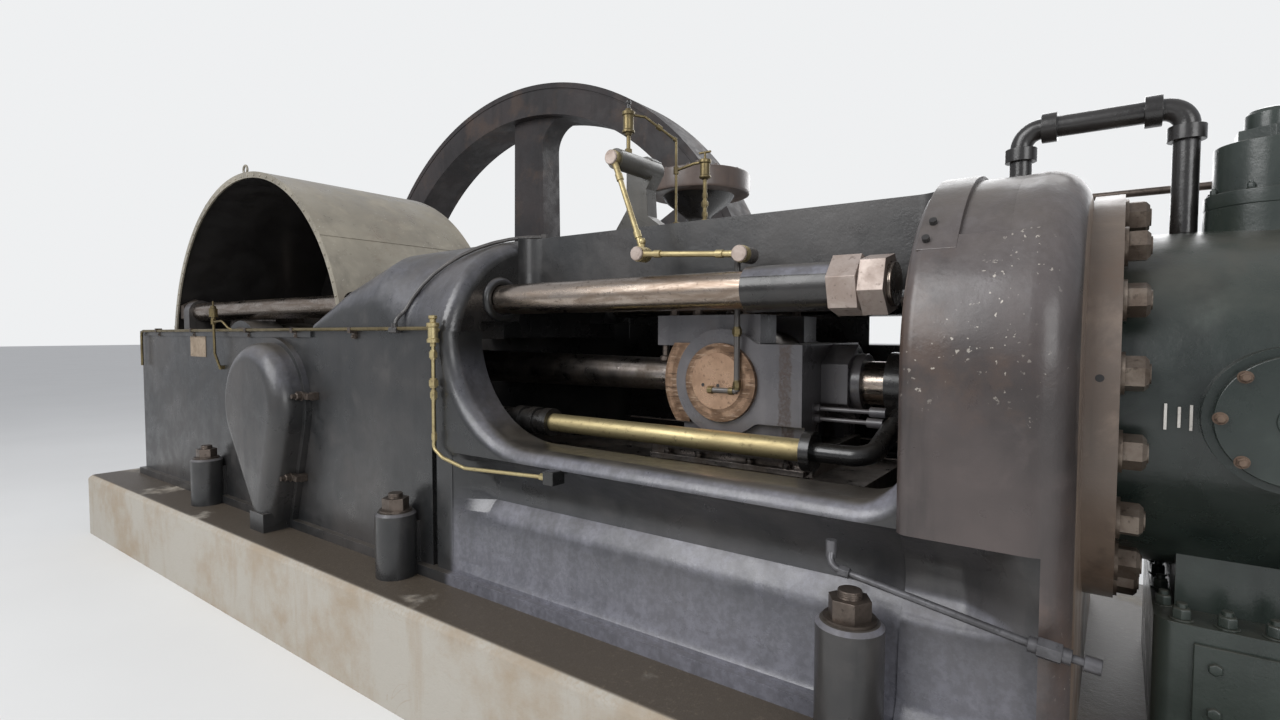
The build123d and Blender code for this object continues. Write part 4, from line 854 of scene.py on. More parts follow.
    def make(self, name: str, material: bpy.types.Material, body: str, smooth: float,
             slot: str) -> bpy.types.Object:
        """Turns the mesh into a finished piece.

        Args:
            name: The piece's name.
            material: Its finish.
            body: The CAD body it rides on.
            smooth: Largest angle, in degrees, that is shaded smooth.
            slot: The record's material slot; not used.

        Returns:
            The piece.
        """
        mesh = bpy.data.meshes.new(name)
        self.bm.to_mesh(mesh)
        self.bm.free()
        mesh.materials.append(material)
        mesh.shade_smooth()
        mesh.set_sharp_from_angle(angle=math.radians(smooth))
        piece = bpy.data.objects.new(name, mesh)
        bpy.context.scene.collection.objects.link(piece)
        weighted = piece.modifiers.new("even_shading", "WEIGHTED_NORMAL")
        weighted.keep_sharp = True
        weighted.weight = 80
        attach(piece, body)
        LOG.info("%s: %d faces on %s", name, len(mesh.polygons), body)
        return piece


class EngineFrame:
    """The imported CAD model, and copies of its nodes with softened edges."""

    def __init__(self) -> None:
        """Loads the frame and notes the body and slot of each node, and the CAD box."""
        self.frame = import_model()
        record = self.frame["record"]
        self.bodies = {node: body for body, nodes in record["behaviour"]["bodies"].items() for node in nodes}
        self.slots = {row["node"]: row["material_slot"] for row in record["subparts"]}
        self.box = [list(corner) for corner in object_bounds()]

    def shape_of(self, node: str) -> Shape:
        """Merged copy of a CAD node, with its flat faces joined.

        Args:
            node: The CAD node.

        Returns:
            The copy.
        """
        shape = Shape()
        shape.bm.from_mesh(self.frame["nodes"][node].data)
        bmesh.ops.remove_doubles(shape.bm, verts=shape.bm.verts[:], dist=WELD)
        bmesh.ops.dissolve_limit(
            shape.bm, angle_limit=math.radians(0.6), use_dissolve_boundaries=False,
            verts=shape.bm.verts[:], edges=shape.bm.edges[:])
        return shape

    def casting(self, node: str, material: bpy.types.Material, ease: float) -> None:
        """Replaces a CAD node by a copy whose edges are softened.

        Args:
            node: The CAD node.
            material: The copy's finish.
            ease: Width of the softened edges.
        """
        piece = self.shape_of(node).ease(ease).make(
            f"{node}_casting", material, self.bodies[node], 45.0, self.slots[node])
        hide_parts(node)

    def dress(self, node: str, material: bpy.types.Material) -> None:
        """Keeps a CAD node and gives it a finish."""
        data = self.frame["nodes"][node].data
        data.materials.clear()
        data.materials.append(material)


@dataclass
class Assembly:
    """A group of the engine's pieces, with the CAD model and the finishes that it draws on."""

    engine: EngineFrame
    finishes: Finishes


@dataclass
class Studio:
    """Floor, light and camera."""

    eye: Point = (5.10, -2.70, 3.25)
    turn_deg: float = 36.25
    tilt_deg: float = -2.5
    roll_deg: float = -0.06
    lens: float = 18.34
    floor_half: float = 90.0
    floor_gap: float = 0.002        # the floor lies this far below ground level
    floor_tones: Sequence[Point] = ((0.74, 0.74, 0.73), (0.80, 0.80, 0.79))
    world_strength: float = 0.55
    sunk: Sequence[str] = ("foundation_block", "wheel_pit")     # nodes that go below the floor

    def build(self) -> None:
        """Sets up all of it."""
        scene = bpy.context.scene
        scene.view_settings.view_transform = "Standard"
        self.camera(scene)
        self.world(scene)
        self.floor()
        self.lamp("key_light", (0.5, -7.5, 8.5), (2.4, 0.0, 2.6), 6.0, 620.0)
        self.lamp("side_light", (10.5, -5.5, 5.5), (4.2, 0.0, 2.8), 4.0, 200.0)
        self.lamp("back_light", (3.5, 8.5, 8.0), (2.6, 0.0, 3.2), 7.0, 420.0)

    def camera(self, scene: bpy.types.Scene) -> None:
        """Adds the camera where the photograph was taken.

        Args:
            scene: The scene that it looks at.
        """
        data = bpy.data.cameras.new("camera")
        data.lens, data.sensor_width, data.clip_end = self.lens, 36.0, 400.0
        camera = bpy.data.objects.new("camera", data)
        camera.location = self.eye
        camera.rotation_euler = (
            math.radians(90 + self.tilt_deg), math.radians(self.roll_deg), math.radians(self.turn_deg))
        scene.collection.objects.link(camera)
        scene.camera = camera

    def world(self, scene: bpy.types.Scene) -> None:
        """Pale even light, with a paler backdrop for camera and transmission rays.

        Args:
            scene: The scene that it lights.
        """
        world = bpy.data.worlds.new("studio")
        world.use_nodes = True
        tree = world.node_tree
        tree.nodes.clear()
        shade = tree.nodes.new("ShaderNodeBackground")
        shade.inputs["Color"].default_value = (0.93, 0.95, 1.0, 1.0)
        shade.inputs["Strength"].default_value = self.world_strength
        pale = tree.nodes.new("ShaderNodeBackground")
        pale.inputs["Color"].default_value = (0.86, 0.87, 0.88, 1.0)
        rays = tree.nodes.new("ShaderNodeLightPath")
        choose = tree.nodes.new("ShaderNodeMixShader")
        seen = tree.nodes.new("ShaderNodeMath")
        seen.operation = "MAXIMUM"
        tree.links.new(rays.outputs["Is Camera Ray"], seen.inputs[0])
        tree.links.new(rays.outputs["Is Transmission Ray"], seen.inputs[1])
        tree.links.new(seen.outputs[0], choose.inputs[0])
        tree.links.new(shade.outputs[0], choose.inputs[1])
        tree.links.new(pale.outputs[0], choose.inputs[2])
        out = tree.nodes.new("ShaderNodeOutputWorld")
        tree.links.new(choose.outputs[0], out.inputs["Surface"])
        scene.world = world

    def floor(self) -> None:
        """Pale floor at ground level, cut out round the foundation."""
        shape = Shape()
        bmesh.ops.create_grid(shape.bm, x_segments=1, y_segments=1, size=self.floor_half)
        bmesh.ops.translate(shape.bm, vec=(0, 0, GROUND - self.floor_gap), verts=shape.bm.verts[:])
        boxes = [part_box(node) for node in self.sunk]
        for low, high in boxes:
            for corner in (low, high):
                shape.cut((corner.x, 0, 0), (1, 0, 0))
            for corner in (low, high):
                shape.cut((0, corner.y, 0), (0, 1, 0))
        inside = []
        for face in shape.bm.faces:
            middle = face.calc_center_median()
            if any(low.x < middle.x < high.x and low.y < middle.y < high.y for low, high in boxes):
                inside.append(face)
        bmesh.ops.delete(shape.bm, geom=inside, context="FACES")
        mesh = bpy.data.meshes.new("floor")
        shape.bm.to_mesh(mesh)
        shape.bm.free()
        g = Graph("pale_floor")
        mesh.materials.append(g.finish(g.blend(g.noise(0.8, 3), *self.floor_tones), 0.75))
        floor = bpy.data.objects.new("floor", mesh)
        bpy.context.scene.collection.objects.link(floor)
        floor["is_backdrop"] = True

    @staticmethod
    def lamp(name: str, at: Point, to: Point, size: float, watts: float) -> None:
        """Adds a soft square lamp.

        Args:
            name: The lamp's name.
            at: Where it hangs.
            to: Where it points.
            size: Its side.
            watts: Its power.
        """
        data = bpy.data.lights.new(name, "AREA")
        data.size, data.energy = size, watts
        lamp = bpy.data.objects.new(name, data)
        lamp.location = at
        lamp.rotation_euler = (Vector(to) - Vector(at)).to_track_quat("-Z", "Y").to_euler()
        bpy.context.scene.collection.objects.link(lamp)


@dataclass
class Castings(Assembly):
    """The big castings, taken from the CAD solids with softened edges."""

    soft: float = 0.010                 # rounding of the big castings and of the machined ones
    crisp: float = 0.004
    passage_half: float = 0.59          # oily inside of the frame, black as painted shade
    passage_top: float = 3.45
    passage_x0: float = 0.9
    flange_x: float = 5.026
    hollow_x: Sequence[float] = (4.6105, 4.9595, 0.190)    # span of the hollow, and where it runs out
    hollow_half: float = 0.800
    hollow: Sequence[Point] = (         # depth and height of its outline
        (0.0, 2.692), (0.040, 2.662), (0.088, 2.600), (0.108, 2.530), (0.100, 2.480), (0.056, 2.426),
        (0.040, 2.360), (0.026, 2.190), (-0.008, 2.132))
    hollow_steps: Sequence[int] = (24, 56)
    least_share: float = 0.04           # of the hollow's depth, left at its end
    skin_proud: float = 0.005
    skin_t: float = 0.012
    pad_x: Point = (4.665, 4.865)       # broad pad of the plain model
    pad_low: float = 3.45
    pad_t: float = 0.016
    press_gap: float = 0.002            # vertices nearer the shoulder than this stay where they are
    shoulder_r: float = 0.600
    strap_x: Point = (4.632, 4.738)
    strap_from: float = 33.0            # degrees above level at which the strap starts
    strap_t: float = 0.015
    strap_sunk: float = 0.02
    pivot: Point = (3.271, 4.020)       # X and Z of the oiler's fixed pivot
    taper: float = 0.72

    def build(self) -> None:
        """Makes every casting."""
        f, casting = self.finishes, self.engine.casting
        # faces inside the passage take the black finish: oil and painted shade
        self.split("crank_bed", f.frame, f.black, self.in_passage)
        self.split("guide_casting", f.frame, f.black, self.in_passage)
        self.adapter()
        self.hollow_skin()
        self.oiler_stand()
        casting("governor_stand", f.stand, self.crisp)
        for node in ("outboard_pedestal", "outboard_cap", "tail_support", "bearing_caps", "crank_side_cover"):
            casting(node, f.frame, self.crisp)
        for node in ("cylinder", "rear_head", "side_covers", "inlet_bonnets", "exhaust_chest_front",
                     "exhaust_chest_rear", "tail_guard"):
            casting(node, f.cylinder, self.crisp)
        for node in ("foundation_block", "wheel_pit", "outboard_pier"):
            casting(node, f.concrete, self.soft)

    def oiler_stand(self) -> None:
        """Stand of the swing-link oiler, its boss tapered towards the pivot."""
        shape = self.engine.shape_of("oiler_stand")
        low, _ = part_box("oiler_stand")
        x, z = self.pivot
        for vert in shape.bm.verts:
            if vert.co.y < low.y + self.crisp:
                vert.co.x = x + (vert.co.x - x) * self.taper
                vert.co.z = z + (vert.co.z - z) * self.taper
        piece = shape.ease(self.crisp).make(
            "oiler_stand_casting", self.finishes.stand, "engine", 40.0, self.engine.slots["oiler_stand"])
        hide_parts("oiler_stand")

    def in_passage(self, at: Vector) -> bool:
        """Whether a point lies on the oily inside of the frame, which gets the black finish as painted shade.
        """
        return abs(at.y) < self.passage_half and at.z < self.passage_top and at.x > self.passage_x0

    def on_flange(self, at: Vector) -> bool:
        """Whether a point lies on the adapter's round flange."""
        return at.x > self.flange_x

    def split(self, node: str, outside: bpy.types.Material, inside: bpy.types.Material,
              test: Callable[[Vector], bool], shape: Optional[Shape] = None) -> None:
        """Replaces a casting by a copy with two finishes.

        Args:
            node: The casting's CAD node.
            outside: Its main finish.
            inside: Finish of the faces that pass the test.
            test: Says whether the middle of a face gets the second finish.
            shape: The copy, where it has already been worked on.
        """
        shape = shape or self.engine.shape_of(node)
        shape.ease(self.soft, 3)
        for face in shape.bm.faces:
            if test(face.calc_center_median()):
                face.material_index = 1
        piece = shape.make(
            f"{node}_casting", outside, self.engine.bodies[node], 45.0, self.engine.slots[node])
        piece.data.materials.append(inside)
        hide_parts(node)

    def hollow_skin(self) -> None:
        """Smooth face of the skirt's hollow where it runs on under the adapter."""
        shape = Shape()
        x0, x1, run = self.hollow_x
        across, up = self.hollow_steps
        levels = [height for _, height in self.hollow]
        z0, z1 = min(levels), max(levels)
        for side in (-1, 1):
            grid = []
            for i in range(across + 1):
                x = x0 + (x1 - x0) * i / across
                share = min(1.0, self.least_share + (1.0 - self.least_share) * max(0.0, x1 - x) / run)
                column = []
                for j in range(up + 1):
                    z = z0 + (z1 - z0) * j / up
                    y = self.hollow_half - share * self.depth_at(z) + self.skin_proud
                    column.append(shape.bm.verts.new((x, side * y, z)))
                grid.append(column)
            faces = [shape.bm.faces.new((a[j], b[j], b[j + 1], a[j + 1]))
                     for a, b in zip(grid, grid[1:]) for j in range(up)]
            back = bmesh.ops.extrude_face_region(shape.bm, geom=faces, use_keep_orig=True)["geom"]
            verts = [item for item in back if isinstance(item, bmesh.types.BMVert)]
            bmesh.ops.translate(shape.bm, vec=(0, -side * self.skin_t, 0), verts=verts)
        bmesh.ops.recalc_face_normals(shape.bm, faces=shape.bm.faces[:])
        shape.make("hollow_skin", self.finishes.frame, "engine", 60.0, "bed_paint")

    def depth_at(self, height: float, spread: float = 0.012) -> float:
        """Depth of the skirt's hollow at a height, smoothed over its neighbourhood.

        Args:
            height: The height.
            spread: Distance of the two other heights that it is averaged with.

        Returns:
            The depth.
        """
        total = 0.0
        for z in (height - spread, height, height + spread):
            depth = self.hollow[0][0] if z > self.hollow[0][1] else self.hollow[-1][0]
            for (d1, z1), (d0, z0) in zip(self.hollow, self.hollow[1:]):
                if z0 <= z <= z1:
                    depth = d0 + (d1 - d0) * (z - z0) / (z1 - z0)
                    break
            total += depth
        return total / 3

    def adapter(self) -> None:
        """Adapter with its broad pad pressed flush and the narrow strap laid over the shoulder."""
        shape = self.engine.shape_of("cylinder_adapter")
        low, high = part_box("cylinder_adapter")
        top = high.z - self.pad_t
        axis_y, axis_z = low.y + self.pad_t + self.shoulder_r, top - self.shoulder_r
        for vert in shape.bm.verts:
            at = vert.co
            if not self.pad_x[0] < at.x < self.pad_x[1] or at.y > 0 or at.z < self.pad_low:
                continue
            if at.y > axis_y:
                if at.z > top + self.press_gap:
                    vert.co.z = top
                continue
            out = Vector((0, at.y - axis_y, at.z - axis_z))
            if out.length > self.shoulder_r + self.press_gap:
                vert.co = Vector((at.x, axis_y, axis_z)) + out.normalized() * self.shoulder_r
        bmesh.ops.remove_doubles(shape.bm, verts=shape.bm.verts[:], dist=0.0008)
        self.split("cylinder_adapter", self.finishes.adapter, self.finishes.flange, self.on_flange, shape)
        strap = Shape()
        x0, x1 = self.strap_x
        start = math.radians(self.strap_from)
        inner, outer = self.shoulder_r - self.strap_sunk, self.shoulder_r + self.strap_t
        section = []
        for x, radius in ((x0, inner), (x1, inner), (x1, outer), (x0, outer)):
            at = (x, axis_y - radius * math.cos(start), axis_z + radius * math.sin(start))
            section.append(strap.bm.verts.new(at))
        face = strap.bm.faces.new(section)
        bmesh.ops.spin(
            strap.bm, geom=[face], cent=(0, axis_y, axis_z), axis=Axis.MINUS_X.value,
            angle=math.pi / 2 - start, steps=28)
        bmesh.ops.recalc_face_normals(strap.bm, faces=strap.bm.faces[:])
        strap.ease(0.0035).make("shoulder_strap", self.finishes.adapter, "engine", 40.0, "bed_paint")


@dataclass
class Remainder(Assembly):
    """Machined pieces that keep their CAD shape."""

    crisp: float = 0.002                # rounding of their edges

    def build(self) -> None:
        """Gives every piece its finish."""
        f, casting = self.finishes, self.engine.casting
        table = {
            "tie_rods": f.rod, "tie_nuts": f.nut, "connecting_rod": f.iron,
            "crank_pin": f.iron, "crosshead": f.crosshead, "crosshead_pin": f.pin_face,
            "crosshead_slipper": f.iron, "piston_rod": f.rod, "stuffing_box": f.black,
            "crosshead_guide": f.iron, "cooling_tube": f.brass, "cooling_elbow": f.black,
            "cooling_gland": f.black, "water_pipe": f.black, "oiler_upper_link": f.brass,
            "oiler_lower_link": f.brass, "oiler_standpipe": f.dark_pipe,
            "governor_rod": f.dark_nut, "anchor_nuts": f.dark_nut, "crankshaft": f.iron,
            "near_crank": f.iron, "flywheel_rim": f.wheel, "flywheel_spider": f.wheel,
        }
        for node, material in table.items():
            casting(node, material, self.crisp)
        for node in ("bearing_shells", "piston"):
            self.engine.dress(node, f.iron)


@dataclass
class HoodSheet(Assembly):
    """Riveted sheet-metal hood over the crank, near-black inside as painted shade."""

    sheet: float = 0.012
    rivet_r: float = 0.010
    rivet_pitch: float = 0.095
    rivet_in: float = 0.024         # rivets inside the edge of the strip
    foot_strip: float = 0.045
    seam_degrees: Sequence[float] = (38.0, 118.0)
    eye_r: float = 0.030
    eye_wire: float = 0.008
    eye_in: float = 0.030           # lifting eye behind the near edge

    def build(self) -> None:
        """Makes the sheet, its rivets, its strips and its lifting eye."""
        low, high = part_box("hood")
        self.radius = high.z - CRANK_Z
        self.near, self.far, self.foot = low.y, high.y, low.z
        self.skin()
        self.rivets()
        self.strips()

    def skin(self) -> None:
        """The sheet itself: painted outside, near-black inside as painted shade."""
        shape = self.engine.shape_of("hood")
        shape.ease(0.002)
        inner = self.radius - 0.6 * self.sheet
        # painted shade: the faces inside the sheet get the near-black finish
        for face in shape.bm.faces:
            middle = face.calc_center_median()
            from_axis = math.hypot(middle.x, middle.z - CRANK_Z)
            if from_axis < inner and self.near + self.sheet / 2 < middle.y < self.far - self.sheet / 2:
                face.material_index = 1
        piece = shape.make("hood_sheet", self.finishes.hood, "engine", 35.0, "hood_sheet")
        piece.data.materials.append(self.finishes.painted_shade)
        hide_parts("hood")

    def rivets(self) -> None:
        """Round-headed rivets along the edge strip and the foot of the sheet."""
        shape = Shape()
        ring = self.radius - self.rivet_in
        start = math.asin((self.foot + 0.03 - CRANK_Z) / ring)
        count = int((math.pi - 2 * start) * ring / self.rivet_pitch)
        for index in range(count + 1):
            angle = start + (math.pi - 2 * start) * index / count
            at = (ring * math.cos(angle), self.near, CRANK_Z + ring * math.sin(angle))
            shape.rivet(at, Axis.MINUS_Y.value, self.rivet_r)
        steps = int((self.far - self.near) / self.rivet_pitch)
        foot_z = self.foot + self.foot_strip / 2
        reach = math.sqrt(self.radius ** 2 - (foot_z - CRANK_Z) ** 2)
        for index in range(1, steps):
            y = self.near + (self.far - self.near) * index / steps
            for side in (-1, 1):
                shape.rivet((side * (reach + 0.004), y, foot_z), Vector((side, 0, 0)), self.rivet_r)
        shape.make("hood_rivets", self.finishes.hood, "engine", 60.0, "hood_sheet")

    def strips(self) -> None:
        """Foot strips, seam straps and the lifting eye."""
        shape = Shape()
        reach = math.sqrt(self.radius ** 2 - (self.foot - CRANK_Z) ** 2)
        for side in (-1, 1):
            x0, x1 = sorted((side * (reach - 0.006), side * (reach + 0.004)))
            shape.block((x0, self.near, self.foot), (x1, self.far, self.foot + self.foot_strip))
        for degrees in self.seam_degrees:
            angle = math.radians(degrees)
            way = Vector((math.cos(angle), 0, math.sin(angle)))
            at = Vector((0, 0, CRANK_Z)) + way * (self.radius - 0.001)
            made = shape.block((-0.018, self.near, 0), (0.018, self.far, 0.004))
            turned = Matrix.Rotation(math.pi / 2 - angle, 3, "Y")
            bmesh.ops.rotate(shape.bm, cent=(0, 0, 0), matrix=turned, verts=made)
            bmesh.ops.translate(shape.bm, vec=at, verts=made)
        shape.ease(0.0015)
        eye = (0.0, self.near + self.eye_in, CRANK_Z + self.radius + self.eye_r)
        shape.ring(eye, Axis.Y.value, self.eye_r, self.eye_wire)
        shape.make("hood_strips", self.finishes.hood, "engine", 40.0, "hood_sheet")


@dataclass
class BedFittings(Assembly):
    """Oil pipes, sight feed, bare plate and cover clamps on the near wall."""

    wall_y: float = -0.800
    pipe_y: float = -0.830
    pipe_r: float = 0.0095
    run_z: float = 3.256
    run_x0: float = -1.264
    run_x1: float = 2.540
    tee_x: float = 2.236
    clips_x: Sequence[float] = (-0.92, -0.25, 0.62, 1.22, 1.84)
    shoulder_y: float = -0.22       # axis and radius of the rounded roof
    shoulder_z: float = 3.15
    shoulder_r: float = 0.592
    oiler_x: float = 0.185
    plate_x: Point = (-0.355, -0.090)
    plate_z: Point = (3.067, 3.216)
    plate_t: float = 0.004
    plate_pin_in: float = 0.016
    clamps: Sequence[Point] = ((1.392, 2.884, 3.0), (1.246, 2.401, 6.0))    # X, Z and tilt
    knobs: Sequence[Point] = ((1.182, 2.545), (1.168, 2.462))               # X and Z
    foundation_nuts: Sequence[Point] = ((0.130, 2.390), (2.322, 2.390), (4.510, 2.440))     # X and seat
    nut_y: float = 0.895

    def build(self) -> None:
        """Makes all of them."""
        self.oil_pipes()
        self.arched_pipe()
        self.sight_feed()
        self.wall_oiler()
        self.plate()
        self.cover_clamps()
        self.bolt_washers()

    def oil_pipes(self) -> None:
        """Long pipe along the top of the wall, with its clips and its drop at the crank end."""
        y, z = self.pipe_y, self.run_z
        pipes = Shape()
        pipes.pipe(((self.run_x0, y, 2.974), (self.run_x0, y, z - 0.006), (self.run_x1, y, z + 0.008)),
                   self.pipe_r, 0.045)
        pipes.make("wall_oil_pipe", self.finishes.dull_brass, "engine", 50.0, "brass")
        clips = Shape()
        for x in self.clips_x:
            clips.block((x - 0.013, y - self.pipe_r - 0.003, z - 0.016), (x + 0.013, self.wall_y, z + 0.014))
            clips.bolt((x, y + 0.012, z - 0.034), Axis.MINUS_Y.value, 0.016, 0.006)
            clips.block((x - 0.013, y + 0.012, z - 0.046), (x + 0.013, self.wall_y, z - 0.012))
        clips.ease(0.0015)
        clips.make("wall_pipe_clips", self.finishes.dark_nut, "engine", 40.0, "machined_iron")

    def arched_pipe(self) -> None:
        """Pipe that climbs from the tee over the rounded shoulder and along the top of the portal."""
        y, z = self.pipe_y, self.run_z
        route = [Vector((self.tee_x, y, z)), Vector((self.tee_x, y + 0.006, z + 0.05))]
        for degrees in range(20, 92, 7):
            angle = math.radians(degrees)
            x = self.tee_x + 0.38 * ((degrees - 14) / 70) ** 1.4
            route.append(Vector((
                x, self.shoulder_y - self.shoulder_r * math.cos(angle),
                self.shoulder_z + self.shoulder_r * math.sin(angle))))
        shape = Shape()
        shape.pipe(route, self.pipe_r, 0.3)
        end = route[-1]
        shape.prism(end - Vector((0, 0, 0.03)), end + Vector((0, 0, 0.014)), 0.019, 6)
        shape.prism((self.tee_x - 0.032, y, z), (self.tee_x + 0.032, y, z), 0.016, 20)
        shape.post(self.tee_x, y, z, z + 0.034, 0.016, 20)
        shape.make("shoulder_oil_pipe", self.finishes.dark_pipe, "engine", 50.0, "brass")

    def sight_feed(self) -> None:
        """Brass sight feed with the pipe that drops from it and runs on to the window's lip."""
        x, y = self.run_x1, self.pipe_y
        feed = Shape()
        feed.lathe((x, y, 3.180), Axis.Z.value, (
            (0.0, 0.0), (0.0, 0.014), (0.018, 0.014), (0.018, 0.028), (0.034, 0.028), (0.038, 0.023),
            (0.088, 0.023), (0.092, 0.029), (0.108, 0.029), (0.112, 0.014), (0.126, 0.014), (0.130, 0.020),
            (0.142, 0.020), (0.146, 0.0)), 32)
        feed.prism((x, y - 0.004, 3.256), (x, self.wall_y, 3.256), 0.010, 16)
        for z, size in ((3.142, 0.020), (3.010, 0.023), (2.955, 0.018), (2.760, 0.014)):
            feed.union((x, y, z), size, 0.014, 0.022, 0.72)
        feed.pipe(
            ((x, y, 3.190), (x - 0.004, y, 2.705), (2.600, y, 2.668), (2.757, y, 2.638), (3.262, y, 2.664)),
            0.0085, 0.03)
        feed.prism((3.232, y, 2.6625), (3.262, y, 2.664), 0.015, 6)
        feed.make("sight_feed", self.finishes.brass, "engine", 40.0, "brass")
        boss = Shape()
        boss.block((3.262, y - 0.022, 2.638), (3.318, self.wall_y + 0.020, 2.694))
        boss.ease(0.004, 3).make("lip_oil_boss", self.finishes.black, "engine", 40.0, "bed_paint")

    def wall_oiler(self) -> None:
        """Drip oiler of the near main bearing, with its two pipes."""
        x, y = self.oiler_x, self.pipe_y - 0.022
        shape = Shape()
        shape.lathe((x, y, 3.330), Axis.Z.value, (
            (0.0, 0.0), (0.0, 0.014), (0.014, 0.014), (0.014, 0.026), (0.07, 0.026), (0.074, 0.018),
            (0.088, 0.018), (0.092, 0.0)), 32)
        shape.post(x, y, 3.420, 3.450, 0.006, 12)
        shape.post(x, y, 3.295, 3.332, 0.016, 6)
        shape.pipe(((x, y, 3.330), (x + 0.008, y, 3.10), (x + 0.014, y + 0.03, 2.992)), 0.0085, 0.05)
        shape.prism((x + 0.014, y + 0.03, 3.004), (x + 0.014, self.wall_y, 3.004), 0.014, 6)
        shape.pipe(
            ((x, y, 3.312), (x + 0.13, y, 3.318), (x + 0.2, y + 0.01, 3.27),
             (x + 0.24, self.pipe_y, self.run_z)), 0.007, 0.06)
        shape.make("bearing_oiler", self.finishes.dull_brass, "engine", 40.0, "brass")

    def plate(self) -> None:
        """Bare plate with a pin at each corner."""
        (x0, x1), (z0, z1) = self.plate_x, self.plate_z
        face, inset = self.wall_y - self.plate_t, self.plate_pin_in
        shape = Shape()
        shape.block((x0, face, z0), (x1, self.wall_y, z1))
        shape.ease(0.0012)
        for x in (x0 + inset, x1 - inset):
            for z in (z0 + inset, z1 - inset):
                shape.rivet((x, face, z), Axis.MINUS_Y.value, 0.005)
        shape.make("bare_plate", self.finishes.plate, "engine", 40.0, "machined_iron")

    def cover_clamps(self) -> None:
        """Clamps that hold the right rim of the teardrop cover."""
        shape = Shape()
        for x, z, tilt in self.clamps:
            made = shape.block((x - 0.115, -0.868, z - 0.017), (x + 0.055, -0.838, z + 0.017))
            made += shape.block((x + 0.020, -0.840, z - 0.022), (x + 0.055, -0.800, z + 0.022))
            turned = Matrix.Rotation(math.radians(tilt), 3, "Y")
            bmesh.ops.rotate(shape.bm, cent=(x, 0, z), matrix=turned, verts=made)
            shape.prism((x - 0.010, -0.800, z), (x - 0.010, -0.925, z), 0.014, 20)
            shape.bolt((x - 0.010, -0.868, z), Axis.MINUS_Y.value, 0.046, 0.030, 0.018)
        shape.ease(0.0025)
        for x, z in self.knobs:
            shape.prism((x, -0.835, z), (x, -0.885, z), 0.007, 16)
            shape.lathe((x, -0.880, z), Axis.MINUS_Y.value, (
                (0.0, 0.0), (0.0, 0.010), (0.006, 0.019), (0.018, 0.022), (0.030, 0.018), (0.036, 0.0)), 28)
        shape.make("cover_clamps", self.finishes.dark_nut, "engine", 40.0, "machined_iron")

    def bolt_washers(self) -> None:
        """Thick washers under the foundation nuts and the threads above them."""
        shape = Shape()
        for x, base in self.foundation_nuts:
            for side in (-1, 1):
                at = Vector((x, side * self.nut_y, base))
                shape.prism(at, at + Vector((0, 0, 0.010)), 0.074, 40)
                for turn in range(4):
                    thread = at + Vector((0, 0, 0.068 + 0.005 * turn))
                    shape.ring(thread, Axis.Z.value, 0.0325, 0.0016, 28)
        shape.make("foundation_washers", self.finishes.dark_nut, "engine", 40.0, "machined_iron")


